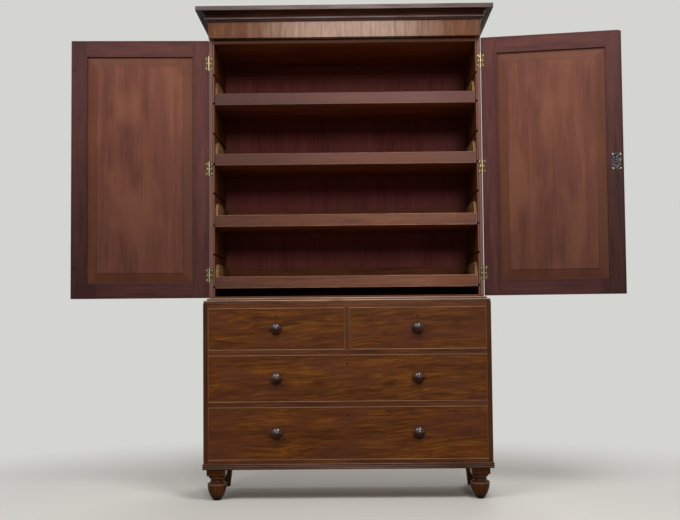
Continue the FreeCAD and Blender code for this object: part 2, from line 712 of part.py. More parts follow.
def cock_beads(x0, x1, z0, z1):
    """Four thin strips with rounded noses, mitred at the corners, round a drawer's front."""
    nose = CHEST_FRONT - BEAD_PROUD
    flat = nose + BEAD / 2
    back = CHEST_FRONT + BEAD_IN

    def strip(length, place, run, corner_cuts):
        start = (back, 0)
        steps = [(flat, 0), bulge_to((nose, BEAD / 2), (flat, BEAD)), (back, BEAD)]
        bead = extrude(start, steps, place, run * length)
        for cut in corner_cuts:
            bead = bead.cut(cut)
        return bead

    def mitre(x, z, sx, sz, third):
        """Half of a corner square, from its outer corner to its inner one and to a third corner."""
        def place(dx, dz):
            return V(x + sx * dx, nose - PAST, z + sz * dz)
        return extrude((0, 0), [third, (size, size)], place, V(0, back - nose + 2 * PAST, 0))
    size = BEAD + PAST
    upright = (0, size)
    level = (size, 0)
    low = strip(x1 - x0, lambda y, z: V(x0, y, z0 + z), V(1, 0, 0),
                [mitre(x0, z0, 1, 1, upright), mitre(x1, z0, -1, 1, upright)])
    high = strip(x1 - x0, lambda y, z: V(x0, y, z1 - z), V(1, 0, 0),
                 [mitre(x0, z1, 1, -1, upright), mitre(x1, z1, -1, -1, upright)])
    left = strip(z1 - z0, lambda y, x: V(x0 + x, y, z0), V(0, 0, 1),
                 [mitre(x0, z0, 1, 1, level), mitre(x0, z1, 1, -1, level)])
    right = strip(z1 - z0, lambda y, x: V(x1 - x, y, z0), V(0, 0, 1),
                  [mitre(x1, z0, -1, 1, level), mitre(x1, z1, -1, -1, level)])
    return [low, high, left, right]


def drawer(name, opening_x0, opening_x1, z_low, z_high, knob_places, key_z):
    """One drawer: front, beads, dovetailed box, bottom, knobs, lock and bolt."""
    x0 = opening_x0 + DRAWER_GAP
    x1 = opening_x1 - DRAWER_GAP
    z0 = z_low + FIT
    z1 = z_high - DRAWER_GAP
    key_x = (x0 + x1) / 2
    inner = CHEST_FRONT + DRAWER_FRONT
    low = z0 + DRAWER_BOTTOM_UP

    bottom_x0 = x0 + DRAWER_SIDE - DRAWER_GROOVE
    bottom_x1 = x1 - DRAWER_SIDE + DRAWER_GROOVE
    groove_front = inner - DRAWER_GROOVE

    def bottom_board(play):
        return box(bottom_x0 - play, bottom_x1 + play, groove_front - play, DRAWER_BACK_Y,
                   low - play, low + DRAWER_BOTTOM + play)

    front = box(x0, x1, CHEST_FRONT, inner, z0, z1)
    bead_room = box(x0, x1, CHEST_FRONT, CHEST_FRONT + BEAD_IN, z0, z1)
    bead_core = box(x0 + BEAD, x1 - BEAD, CHEST_FRONT, CHEST_FRONT + BEAD_IN, z0 + BEAD, z1 - BEAD)
    front = front.cut(bead_room.cut(bead_core))
    side_top = z1 - BEAD
    left_tails = tails(x0, 1, z0, side_top)
    right_tails = tails(x1, -1, z0, side_top)
    lock_case = box(key_x - LOCK_WIDTH / 2, key_x + LOCK_WIDTH / 2, inner - LOCK_THICK, inner,
                    z1 - LOCK_HEIGHT, z1)
    cuts = left_tails + right_tails + [bottom_board(GLUE_GAP), lock_case]
    cuts.append(keyhole(key_x, CHEST_FRONT, key_z, ESCUTCHEON_WALL, ESCUTCHEON_DEPTH))
    cuts.append(keyhole(key_x, CHEST_FRONT, key_z, 0, DRAWER_FRONT))
    for x, z in knob_places:
        cuts.append(rod(KNOB_PIN + GLUE_GAP, V(x, CHEST_FRONT, z), V(x, inner, z)))
    save(f"{name}_front", [front.cut(cuts)])
    save(f"{name}_cock_beads", cock_beads(x0, x1, z0, z1))

    def side(x_start, x_end, corner_tails):
        board = box(x_start, x_end, inner, DRAWER_BACK_Y, z0, side_top)
        return join(board, *corner_tails).cut(bottom_board(GLUE_GAP))
    left = side(x0, x0 + DRAWER_SIDE, left_tails)
    right = side(x1 - DRAWER_SIDE, x1, right_tails)
    back = box(x0 + DRAWER_SIDE, x1 - DRAWER_SIDE, DRAWER_BACK_Y - DRAWER_SIDE, DRAWER_BACK_Y,
               low + DRAWER_BOTTOM, side_top - DRAWER_BACK_LOW)
    save(f"{name}_box", [left, right, back, bottom_board(0)])
    save(f"{name}_knobs", [knob(*place) for place in knob_places])

    key_way = key_slot(key_x, inner - LOCK_THICK, key_z, LOCK_THICK / 2)
    pin = rod(LOCK_PIN_RADIUS, V(key_x, inner - LOCK_THICK, key_z), V(key_x, inner - LOCK_THICK / 3, key_z))
    lock = join(lock_case.cut([drawer_bolt(key_x, z1, FIT), key_way]), pin)
    save(f"{name}_lock", [lock, escutcheon(key_x, CHEST_FRONT, key_z)])
    save(f"{name}_lock_bolt", [drawer_bolt(key_x, z1, 0)])


def drawer_bolt(x, top, grow):
    """A drawer lock's bolt drawn back into its case, its upper end level with the drawer front's edge."""
    half = BOLT_WIDTH / 2 + grow
    y = lock_bolt_y()
    return box(x - half, x + half, y - BOLT_THICK / 2 - grow, y + BOLT_THICK / 2 + grow,
               top - BOLT_LENGTH - grow, top + grow)


def cut_each(shapes, tools):
    """Each shape less the tools."""
    return [shape.cut(tools) for shape in shapes]


def drawers():
    """Two short drawers over two long ones."""
    middle = short_drawer_middle()
    top_knob_z = TOP_Z + TOP_DRAWER / 2 + KNOB_ABOVE
    key_z = TOP_RAIL_Z - KEY_DROP
    drawer("drawer_short_left", -CHEST_IN, -DIVIDER / 2, TOP_Z, TOP_RAIL_Z, [(-middle, top_knob_z)], key_z)
    drawer("drawer_short_right", DIVIDER / 2, CHEST_IN, TOP_Z, TOP_RAIL_Z, [(middle, top_knob_z)], key_z)
    knob_x = CHEST_IN - KNOB_IN
    long_ones = (("drawer_middle", MIDDLE_Z, MIDDLE_DRAWER), ("drawer_bottom", BOTTOM_Z, BOTTOM_DRAWER))
    for name, z, height in long_ones:
        knob_z = z + height / 2 + KNOB_ABOVE
        places = [(-knob_x, knob_z), (knob_x, knob_z)]
        drawer(name, -CHEST_IN, CHEST_IN, z, z + height, places, z + height - KEY_DROP)


# ---------------------------------------------------------------- cupboard
def press_side():
    """The right side: beaded front edge, grooves for the trays, rebate for the back, seats for hinges."""
    bead_end = PRESS_IN + SIDE_BEAD
    radius = SIDE_BEAD / 2

    def place(x, y):
        return V(x, FRONT_Y + y, CHEST_TOP_Z)
    steps = [
        bulge_to((PRESS_IN + radius, 0), (bead_end, radius)),
        (bead_end + SIDE_QUIRK, radius),
        (bead_end + SIDE_QUIRK, 0),
        (HALF_PRESS - SIDE_ARRIS, 0),
        arc_to((HALF_PRESS - SIDE_ARRIS, 0), (HALF_PRESS - SIDE_ARRIS, SIDE_ARRIS), (HALF_PRESS, SIDE_ARRIS)),
        (HALF_PRESS, PRESS_DEPTH),
        (PRESS_IN + BACK_REBATE, PRESS_DEPTH),
        (PRESS_IN + BACK_REBATE, PRESS_DEPTH - BACK_FRAME),
        (PRESS_IN, PRESS_DEPTH - BACK_FRAME),
    ]
    side = extrude((PRESS_IN, radius), steps, place, V(0, 0, PRESS_HEIGHT))
    grooves = []
    for level in GROOVE_LEVELS:
        grooves.append(box(PRESS_IN - PAST, PRESS_IN + HOUSING, FRONT_Y - PAST, BACK_FRAME_Y,
                           level - FIT, level + TRAY_BOTTOM + FIT))
    for low, high in ((CHEST_TOP_Z + PRESS_BOTTOM_UP, PRESS_FLOOR_Z), (PRESS_CEILING_Z, PRESS_TOP_Z)):
        grooves.append(box(PRESS_IN, PRESS_IN + HOUSING, FRONT_Y + SIDE_BEAD, BACK_FRAME_Y, low, high))
    side = side.cut(grooves)
    return side.cut([hinge_seat(z, FRONT_Y, FRONT_Y + HINGE_LEAF_THICK) for z in HINGE_LEVELS])


def shelf_board(low, high):
    """The cupboard's top or bottom board, with ends let into the sides behind their beads."""
    body = box(-PRESS_IN, PRESS_IN, FRONT_Y + FIT, BACK_FRAME_Y, low, high)
    reach = PRESS_IN + HOUSING - GLUE_GAP
    return join(body, box(-reach, reach, FRONT_Y + SIDE_BEAD + GLUE_GAP, BACK_FRAME_Y, low, high))


def back_frame():
    """Stiles, rails and muntin of the cupboard's back, grooved for two panels."""
    low = CHEST_TOP_Z
    high = PRESS_TOP_Z
    reach = PRESS_IN + BACK_REBATE - GLUE_GAP
    stile = box(reach - BACK_STILE, reach, BACK_FRAME_Y, PRESS_END, low, high)
    inner = reach - BACK_STILE
    rails = [box(-inner, inner, BACK_FRAME_Y, PRESS_END, z, z + BACK_RAIL) for z in (low, high - BACK_RAIL)]
    half = BACK_MUNTIN / 2
    muntin = box(-half, half, BACK_FRAME_Y, PRESS_END, low + BACK_RAIL, high - BACK_RAIL)
    middle = BACK_FRAME_Y + BACK_FRAME / 2

    def panel(play):
        out = BACK_PANEL_TONGUE + play
        return box(half - out, inner + out, middle - BACK_PANEL / 2 - play, middle + BACK_PANEL / 2 + play,
                   low + BACK_RAIL - out, high - BACK_RAIL + out)
    grooves = [panel(GLUE_GAP), mirrored(panel(GLUE_GAP))]
    frame = [mirrored(stile), stile] + rails + [muntin]
    save("press_back_frame", cut_each(frame, grooves))
    save("press_back_panels", [mirrored(panel(0)), panel(0)])


def press():
    """The cupboard's carcass."""
    side = press_side()
    save("press_sides", [mirrored(side), side])
    save("press_bottom", [shelf_board(CHEST_TOP_Z + PRESS_BOTTOM_UP, PRESS_FLOOR_Z)])
    save("press_top", [shelf_board(PRESS_CEILING_Z, PRESS_TOP_Z)])
    back_frame()


def tray(number, level):
    """A sliding tray: low front, sides ending in a quarter round, back, bottom that runs in grooves."""
    half = PRESS_IN - TRAY_END_GAP
    floor = level + TRAY_BOTTOM
    front_top = level + TRAY_FRONT_HEIGHT
    behind = TRAY_FRONT_Y + TRAY_FRONT
    front = box(-half, half, TRAY_FRONT_Y, behind, level, front_top)
    front = soften(front, TRAY_EDGE, lambda at, way: abs(way.x) > 0.9 and at.z > front_top - TRAY_EDGE)
    lap = TRAY_FRONT_Y + TRAY_LAP
    corner = box(half - TRAY_SIDE, half, lap, behind, floor, front_top)
    front = front.cut([corner, mirrored(corner)])
    front = front.cut(box(-half, half, behind - TRAY_LAP, behind, level, floor))
    save(f"tray_{number}_front", [front])

    top = front_top + TRAY_NOSE
    turned = (lap, front_top)

    def place(y, z):
        return V(half - TRAY_SIDE, y, z)
    steps = [turned, arc_to(turned, (lap + TRAY_NOSE, front_top), (lap + TRAY_NOSE, top)),
             (TRAY_BACK_Y, top), (TRAY_BACK_Y, floor)]
    side = extrude((lap, floor), steps, place, V(TRAY_SIDE, 0, 0))
    back = box(-half + TRAY_SIDE, half - TRAY_SIDE, TRAY_BACK_Y - TRAY_SIDE, TRAY_BACK_Y, floor, top)
    wide = PRESS_IN + HOUSING - FIT
    bottom = box(-half, half, behind - TRAY_LAP, TRAY_BACK_Y, level, floor)
    runner = box(-wide, wide, behind, TRAY_BACK_Y, level, floor)
    save(f"tray_{number}_box", [mirrored(side), side, back, join(bottom, runner)])


# ---------------------------------------------------------------- hinges
def hinge_seat(z, y0, y1):
    """Room for one leaf let in flush, and for the knuckle beside it."""
    low = z - HINGE_HEIGHT / 2
    high = z + HINGE_HEIGHT / 2
    leaf = box(HINGE_X - HINGE_LEAF - KNUCKLE_OUT, HINGE_X, y0, y1, low, high)
    knuckle = rod(KNUCKLE_RADIUS + FIT, V(HINGE_X, HINGE_Y, low), V(HINGE_X, HINGE_Y, high))
    return join(leaf, knuckle)


def leaf(z, y0, y1, knuckles):
    """A hinge leaf with its knuckles, given as (low, high) stretches of its height."""
    low = z - HINGE_HEIGHT / 2
    clear = HINGE_X - KNUCKLE_RADIUS - FIT
    plate = box(HINGE_X - HINGE_LEAF - KNUCKLE_OUT, clear, y0, y1, low, low + HINGE_HEIGHT)
    for start, end in knuckles:
        barrel = rod(KNUCKLE_RADIUS, V(HINGE_X, HINGE_Y, low + start), V(HINGE_X, HINGE_Y, low + end))
        tab = box(clear, HINGE_X - PIN_RADIUS - PIN_PLAY, y0, y1, low + start, low + end)
        plate = join(plate, barrel, tab)
    bore = rod(PIN_RADIUS + PIN_PLAY, V(HINGE_X, HINGE_Y, low - PAST),
               V(HINGE_X, HINGE_Y, low + HINGE_HEIGHT + PAST))
    return plate.cut(bore)


def knuckle_stretches():
    """The carcass leaf's two knuckles, and the door leaf's one between them."""
    third = HINGE_HEIGHT / 3
    gap = KNUCKLE_GAP / 2
    return ((0, third - gap), (2 * third + gap, HINGE_HEIGHT)), ((third + gap, 2 * third - gap),)


def carcass_hinges():
    """The leaves on the cupboard's sides, with the pins."""
    outer, _ = knuckle_stretches()
    pieces = []
    for z in HINGE_LEVELS:
        fixed = leaf(z, FRONT_Y, FRONT_Y + HINGE_LEAF_THICK, outer)
        half = HINGE_HEIGHT / 2
        pin = rod(PIN_RADIUS, V(HINGE_X, HINGE_Y, z - half), V(HINGE_X, HINGE_Y, z + half))
        pieces += [fixed, pin, mirrored(fixed), mirrored(pin)]
    save("hinges_on_sides", pieces)


def door_hinges():
    """The right door's three leaves, as they lie with the door shut."""
    _, inner = knuckle_stretches()
    return [leaf(z, DOOR_IN_Y - HINGE_LEAF_THICK, DOOR_IN_Y, inner) for z in HINGE_LEVELS]


# ---------------------------------------------------------------- doors
def grown(x0, x1, low, high, out):
    """A rectangle's limits, grown by out on every side."""
    return x0 - out, x1 + out, low - out, high + out


def door_panel(x0, x1, low, high):
    """A raised and fielded panel: thin edges in the frame's groove, then a bevel up to a level field."""
    back = DOOR_OUT_Y + PANEL_RECESS
    tongue_y = back + PANEL_TONGUE_THICK
    field_y = back + PANEL

    def rectangle(out, y):
        a, b, c, d = grown(x0, x1, low, high, out)
        corners = [V(a, y, c), V(b, y, c), V(b, y, d), V(a, y, d)]
        return Part.makePolygon(corners + corners[:1])
    plate = Part.Face(rectangle(PANEL_TONGUE, back)).extrude(V(0, PANEL_TONGUE_THICK, 0))
    shoulder = field_y - PANEL_STEP
    bevel = Part.makeLoft([rectangle(0, tongue_y), rectangle(-PANEL_BEVEL, shoulder)], True, True)
    field = Part.Face(rectangle(-PANEL_BEVEL, shoulder)).extrude(V(0, PANEL_STEP, 0))
    return join(plate, bevel, field)


def panel_groove(x0, x1, low, high):
    """The groove that the panel's thin edges sit in."""
    a, b, c, d = grown(x0, x1, low, high, PANEL_TONGUE + GLUE_GAP)
    back = DOOR_OUT_Y + PANEL_RECESS
    return box(a, b, back - GLUE_GAP, back + PANEL_TONGUE_THICK + GLUE_GAP, c, d)


def sticking(x0, x1, low, high):
    """What is planed away to leave a bevel round the panel, on the door's outer face."""
    y = DOOR_OUT_Y

    def rectangle(out, at):
        e, f, g, h = grown(x0, x1, low, high, out)
        corners = [V(e, at, g), V(f, at, g), V(f, at, h), V(e, at, h)]
        return Part.makePolygon(corners + corners[:1])
    return Part.makeLoft([rectangle(STICKING, y), rectangle(0, y + STICKING)], True, True)


def door_frame(x0, x1, hole_x0, hole_x1, low, high):
    """Two stiles and two rails, tenoned, with the panel's groove and the planed edge."""
    hole_low = low + BOTTOM_DOOR_RAIL
    hole_high = high - TOP_DOOR_RAIL
    middle = (DOOR_IN_Y + DOOR_OUT_Y) / 2
    spans = ((x0, hole_x0), (hole_x1, x1))
    stiles = [box(left, right, DOOR_OUT_Y, DOOR_IN_Y, low, high) for left, right in spans]
    rails = []
    for z0, z1 in ((low, hole_low), (hole_high, high)):
        def tenon(play):
            return box(hole_x0 - DOOR_TENON - play, hole_x1 + DOOR_TENON + play,
                       middle - DOOR_TENON_THICK / 2 - play, middle + DOOR_TENON_THICK / 2 + play,
                       z0 + DOOR_TENON_SHOULDER - play, z1 - DOOR_TENON_SHOULDER + play)
        rails.append(join(box(hole_x0, hole_x1, DOOR_OUT_Y, DOOR_IN_Y, z0, z1), tenon(0)))
        stiles = cut_each(stiles, [tenon(GLUE_GAP)])
    hole = (hole_x0, hole_x1, hole_low, hole_high)
    return cut_each(stiles + rails, [panel_groove(*hole), sticking(*hole)])


def swing(shapes, side, opened):
    """Turn shut pieces to their open place: side is -1 for the left door and 1 for the right."""
    turned = []
    for shape in shapes:
        copy = shape.copy()
        copy.rotate(V(side * HINGE_X, HINGE_Y, 0), V(0, 0, 1), side * opened)
        turned.append(copy)
    return turned


def left_edge_x():
    """The meeting edge of the shut left door."""
    return MEETING_REBATE / 2 - MEETING_GAP


def flush_bolt(edge_z, way, grow):
    """A square bolt inside the left door's meeting stile. way is 1 at the top and -1 at the bottom."""
    half = FLUSH_BOLT / 2 + grow
    x = left_edge_x() - FLUSH_BOLT_IN
    y = (DOOR_IN_Y + DOOR_OUT_Y) / 2
    end = edge_z - way * FLUSH_BOLT_LENGTH
    return box(x - half, x + half, y - half, y + half, min(edge_z, end) - grow, max(edge_z, end) + grow)


def flush_stud(edge_z, way, grow, travel):
    """The stud by which a flush bolt is pushed, over a stretch of travel, level with the inner face."""
    half = FLUSH_STUD / 2 + grow
    x = left_edge_x() - FLUSH_BOLT_IN
    z = edge_z - way * (FLUSH_BOLT_LENGTH - FLUSH_STUD_UP)
    y = (DOOR_IN_Y + DOOR_OUT_Y) / 2
    end = z + way * travel
    return box(x - half, x + half, y, DOOR_IN_Y, min(z, end) - half, max(z, end) + half)


def flush_socket(edge_z, way):
    """The hole that a flush bolt shoots into."""
    shot = flush_bolt(edge_z, way, FIT)
    shot.translate(V(0, 0, way * FLUSH_BOLT_TRAVEL))
    return shot


def flush_bolt_ends():
    """Door edge and direction of the two flush bolts."""
    return (DOOR_HIGH_Z, 1), (DOOR_LOW_Z, -1)


def left_door():
    """The left door, held by flush bolts: its inner half runs on behind the right door's lip."""
    x0 = -DOOR_EDGE_X
    x1 = left_edge_x()
    hole_x0 = x0 + STILE
    hole_x1 = x1 - STILE
    hole = (hole_x0, hole_x1, DOOR_LOW_Z + BOTTOM_DOOR_RAIL, DOOR_HIGH_Z - TOP_DOOR_RAIL)
    frame = door_frame(x0, x1, hole_x0, hole_x1, DOOR_LOW_Z, DOOR_HIGH_Z)
    middle = (DOOR_IN_Y + DOOR_OUT_Y) / 2
    tools = [mirrored(hinge_seat(z, DOOR_IN_Y - HINGE_LEAF_THICK, DOOR_IN_Y)) for z in HINGE_LEVELS]
    tools.append(box(-MEETING_REBATE / 2, x1, DOOR_OUT_Y, middle + MEETING_GAP / 2, DOOR_LOW_Z, DOOR_HIGH_Z))
    tools.append(box(x1 - BOLT_TRAVEL - MEETING_GAP, x1, *door_bolt_span(FIT)))
    bolts = []
    for edge_z, way in flush_bolt_ends():
        bolts.append(join(flush_bolt(edge_z, way, 0), flush_stud(edge_z, way, 0, 0)))
        tools += [flush_bolt(edge_z, way, FIT), flush_stud(edge_z, way, FIT, FLUSH_BOLT_TRAVEL)]
    save("door_left_frame", swing(cut_each(frame, tools), -1, LEFT_OPEN))
    save("door_left_panel", swing([door_panel(*hole)], -1, LEFT_OPEN))
    save("door_left_hinge_leaves", swing([mirrored(piece) for piece in door_hinges()], -1, LEFT_OPEN))
    save("door_left_top_bolt", swing(bolts[:1], -1, LEFT_OPEN))
    save("door_left_bottom_bolt", swing(bolts[1:], -1, LEFT_OPEN))


def door_bolt_span(grow):
    """Front-to-back and height limits of the right door's bolt."""
    y = DOOR_IN_Y - DOOR_LOCK_THICK / 2
    half = DOOR_BOLT_HEIGHT / 2 + grow
    return y - BOLT_THICK / 2 - grow, y + BOLT_THICK / 2 + grow, LOCK_Z - half, LOCK_Z + half


def right_door():
    """The right door, with a lip that covers the left one's edge, and a cut lock on its inner face."""
    x0 = -MEETING_REBATE / 2 + MEETING_GAP
    x1 = DOOR_EDGE_X
    hole_x0 = x0 + STILE
    hole_x1 = x1 - STILE
    hole = (hole_x0, hole_x1, DOOR_LOW_Z + BOTTOM_DOOR_RAIL, DOOR_HIGH_Z - TOP_DOOR_RAIL)
    frame = door_frame(x0, x1, hole_x0, hole_x1, DOOR_LOW_Z, DOOR_HIGH_Z)
    middle = (DOOR_IN_Y + DOOR_OUT_Y) / 2
    body_x = MEETING_REBATE / 2
    rebate = box(x0, body_x, middle - MEETING_GAP / 2, DOOR_IN_Y, DOOR_LOW_Z, DOOR_HIGH_Z)
    seats = [hinge_seat(z, DOOR_IN_Y - HINGE_LEAF_THICK, DOOR_IN_Y) for z in HINGE_LEVELS]
    half = DOOR_LOCK_HEIGHT / 2
    case_y = DOOR_IN_Y - DOOR_LOCK_THICK
    case = box(body_x, body_x + DOOR_LOCK_WIDTH, case_y, DOOR_IN_Y, LOCK_Z - half, LOCK_Z + half)
    key_x = body_x + DOOR_LOCK_WIDTH / 2
    rim = keyhole(key_x, DOOR_OUT_Y, LOCK_Z, ESCUTCHEON_WALL, ESCUTCHEON_DEPTH)
    hole_through = keyhole(key_x, DOOR_OUT_Y, LOCK_Z, 0, DOOR_THICK)
    tools = [rebate, case, rim, hole_through] + seats
    save("door_right_frame", swing(cut_each(frame, tools), 1, RIGHT_OPEN))
    save("door_right_panel", swing([door_panel(*hole)], 1, RIGHT_OPEN))
    save("door_right_hinge_leaves", swing(door_hinges(), 1, RIGHT_OPEN))

    bolt = box(body_x, body_x + DOOR_BOLT_LENGTH, *door_bolt_span(0))
    room = box(body_x - PAST, body_x + DOOR_BOLT_LENGTH + FIT, *door_bolt_span(FIT))
    key_way = key_slot(key_x, case_y, LOCK_Z, DOOR_LOCK_THICK / 2)
    pin = rod(LOCK_PIN_RADIUS, V(key_x, case_y, LOCK_Z),
              V(key_x, DOOR_IN_Y - DOOR_LOCK_THICK / 3, LOCK_Z))
    lock = join(case.cut([room, key_way]), pin)
    save("door_right_lock", swing([lock, escutcheon(key_x, DOOR_OUT_Y, LOCK_Z)], 1, RIGHT_OPEN))
    save("door_right_lock_bolt", swing([bolt], 1, RIGHT_OPEN))


# ---------------------------------------------------------------- cornice
def cornice():
    """The cornice lifts off: a frieze frame, mitred mouldings and a dust board."""
    steps = [(0, PRESS_TOP_Z), (0, CORNICE_Z), (-FRIEZE_THICK, CORNICE_Z)]
    front, left, right = three_sided((-FRIEZE_THICK, PRESS_TOP_Z), steps, HALF_FRIEZE, FRIEZE_Y,
                                     FRIEZE_THICK + PAST, (PRESS_TOP_Z, CORNICE_Z), PRESS_END)
    reach = HALF_FRIEZE - FRIEZE_THICK
    back = box(-reach, reach, PRESS_END - FRIEZE_BACK, PRESS_END, PRESS_TOP_Z, CORNICE_Z)
    save("cornice_frieze", [front.cut(flush_socket(DOOR_HIGH_Z, 1)), left, right, back])

    z = CORNICE_Z
    ovolo_z = z + CORNICE_OVOLO
    fillet_z = ovolo_z + CORNICE_FILLET
    fillet_out = CORNICE_OVOLO + CORNICE_FILLET
    top_z = z + CORNICE_HEIGHT
    fascia_z = top_z - CORNICE_FASCIA
    cove_foot = (CORNICE_COVE_IN, fillet_z + CORNICE_QUIRK)
    cove_top = (CORNICE_COVE_OUT, fascia_z - CORNICE_DRIP)
    steps = [
        (0, z),
        arc_to((0, z), (0, ovolo_z), (CORNICE_OVOLO, ovolo_z)),
        (fillet_out, ovolo_z),
        (fillet_out, fillet_z),
        (CORNICE_COVE_IN, fillet_z),
        cove_foot,
        arc_to(cove_foot, arc_centre(cove_foot, cove_top, -CORNICE_COVE_BOW), cove_top),
        (CORNICE_COVE_OUT, fascia_z),
        (CORNICE_OUT, fascia_z),
        (CORNICE_OUT, top_z),
        (-CORNICE_IN, top_z),
    ]
    save("cornice_moulding", three_sided((-CORNICE_IN, z), steps, HALF_FRIEZE, FRIEZE_Y, CORNICE_OUT + PAST,
                                         (z, top_z), PRESS_END))
    inside = HALF_FRIEZE - CORNICE_IN
    save("cornice_dust_board", [box(-inside, inside, FRIEZE_Y + CORNICE_IN, PRESS_END, z, z + DUST_TOP)])


def build():
    """Every node of the linen press."""
    os.makedirs("parts", exist_ok=True)
    chest()
    waist_moulding()
    base_moulding()
    feet()
    drawers()
    press()
    for number, level in enumerate(TRAY_LEVELS, 1):
        tray(number, level)
    carcass_hinges()
    left_door()
    right_door()
    cornice()


build()
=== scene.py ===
# %% [markdown]
# # A linen press in old mahogany
# A linen press is two pieces of furniture in one: a chest of drawers, and a cupboard with sliding trays that
# stands on it. A joiner made every board of it separately, so this scene treats every board separately too.
# The CAD frame gives the boards. Here they get their grain, their polish, their worn edges, and the small
# turned and brass parts that are too fine for the frame.

# %% Load the frame
import json
import math

import bpy
import numpy as np
from mathutils import Matrix, Vector

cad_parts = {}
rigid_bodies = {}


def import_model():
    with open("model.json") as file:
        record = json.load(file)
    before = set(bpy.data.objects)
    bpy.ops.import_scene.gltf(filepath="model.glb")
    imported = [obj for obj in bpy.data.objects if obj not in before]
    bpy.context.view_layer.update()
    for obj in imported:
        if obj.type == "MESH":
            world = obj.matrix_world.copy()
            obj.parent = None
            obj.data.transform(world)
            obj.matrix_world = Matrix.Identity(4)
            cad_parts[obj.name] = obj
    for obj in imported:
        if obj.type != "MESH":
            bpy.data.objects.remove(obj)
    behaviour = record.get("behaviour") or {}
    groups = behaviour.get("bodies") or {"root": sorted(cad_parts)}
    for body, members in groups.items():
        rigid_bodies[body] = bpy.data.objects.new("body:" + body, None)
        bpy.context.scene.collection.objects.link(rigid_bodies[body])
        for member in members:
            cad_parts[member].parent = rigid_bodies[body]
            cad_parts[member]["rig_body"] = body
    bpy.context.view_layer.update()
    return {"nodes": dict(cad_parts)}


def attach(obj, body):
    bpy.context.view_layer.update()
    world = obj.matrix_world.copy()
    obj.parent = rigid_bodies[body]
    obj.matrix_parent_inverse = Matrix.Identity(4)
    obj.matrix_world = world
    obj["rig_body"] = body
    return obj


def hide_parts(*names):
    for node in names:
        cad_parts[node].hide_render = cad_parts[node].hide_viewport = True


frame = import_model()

# %% [markdown]
# ## From a node to its boards
# A node is a bag of loose triangles, and it may hold several boards, such as a door's two stiles and two
# rails. A closed board has a simple mark: each of its edges belongs to exactly two triangles. So we sort all
# edges, pair the triangles that share one, and pass the lowest triangle number along these pairs until every
# board has one number. Two boards that only touch share an edge four times. The frame lists one board after
# the other, so taking the triangles two by two in their own order keeps such boards apart.

# %% Read a node
MERGE = 1e-5          # corners closer than this, in metres, are one corner


def corners_of(node):
    """The corner places of a node's triangles, as an array (triangle, corner, xyz)."""
    mesh = frame["nodes"][node].data
    places = np.empty(len(mesh.vertices) * 3)
    mesh.vertices.foreach_get("co", places)
    order = np.empty(len(mesh.loops), int)
    mesh.loops.foreach_get("vertex_index", order)
    return places.reshape(-1, 3)[order].reshape(-1, 3, 3)


print("chest_sides:", len(corners_of("chest_sides")), "triangles")


# %% Number the boards
def board_numbers(corners):
    """A board's number for each triangle: the lowest triangle number, passed on over shared edges until none
    changes."""
    spots = np.round(corners.reshape(-1, 3) / MERGE).astype(np.int64)
    index = np.unique(spots, axis=0, return_inverse=True)[1].reshape(-1, 3)
    ends = np.concatenate([index[:, [0, 1]], index[:, [1, 2]], index[:, [2, 0]]])
    owner = np.tile(np.arange(len(index)), 3)
    key = ends.min(1) * (index.max() + 1) + ends.max(1)
    order = np.lexsort((owner, key))
    key, owner = key[order], owner[order]
    first = np.searchsorted(key, key)
    even = (np.arange(len(key)) - first) % 2 == 0
    at = np.flatnonzero(even[:-1] & (key[:-1] == key[1:]))
    one, other = owner[at], owner[at + 1]
    number = np.arange(len(index))
    while True:
        before = number.copy()
        lowest = np.minimum(number[one], number[other])
        np.minimum.at(number, one, lowest)
        np.minimum.at(number, other, lowest)
        number = number[number]
        if (number == before).all():
            return np.unique(number, return_inverse=True)[1]


print("chest_sides:", board_numbers(corners_of("chest_sides")).max() + 1, "boards")

# %% [markdown]
# ## Grain that follows each board
# Wood is cut from a trunk, so its pattern runs along the board and not along the room. Each corner of a board
# gets its place on that board: how far along the grain, across it, and through the thickness, from the
# board's middle. The doors stand open, so their corners are first turned back about the hinges, as if the
# doors were shut. Two more values go with the place: half the board's size, from which a material can tell
# how near an edge is, and a number drawn for the board, so that no two boards show the same figure.

# %% Places on a board
HINGE_X, HINGE_Y = 0.5855, -0.18075      # the right door's hinge axis, and the left one's is its mirror image
OPENED = {"left": (-1, math.radians(177.5)), "right": (1, math.radians(169.4))}     # side and opening
AXES = {"x": 0, "y": 1, "z": 2}
LOTS_SEED = 1850
lots = np.random.default_rng(LOTS_SEED)


def swung(points, door, way):
    """Points turned about a door's hinge axis: way 1 opens the door as it stands here, way -1 shuts it."""
    side, angle = OPENED[door]
    turn = way * side * angle
    about = points - (side * HINGE_X, HINGE_Y, 0)
    x = about[:, 0] * math.cos(turn) - about[:, 1] * math.sin(turn)
    y = about[:, 0] * math.sin(turn) + about[:, 1] * math.cos(turn)
    return np.stack([x, y, about[:, 2]], 1) + (side * HINGE_X, HINGE_Y, 0)


def on_board(points, along=None):
    """Place and half size of a board's points, both as (along, across, through). The grain runs the longest
    way, unless along names another axis."""
    low, high = points.min(0), points.max(0)
    size = high - low
    order = list(np.argsort(-size))
    if along is not None:
        order.remove(AXES[along])
        order.insert(0, AXES[along])
    half = np.broadcast_to(size[order] / 2, points.shape)
    return (points - (low + high) / 2)[:, order], half


print("a rail lies along", on_board(np.array([[0, 0, 0], [1.0, 0.06, 0.02]]))[1][0], "metres from its middle")
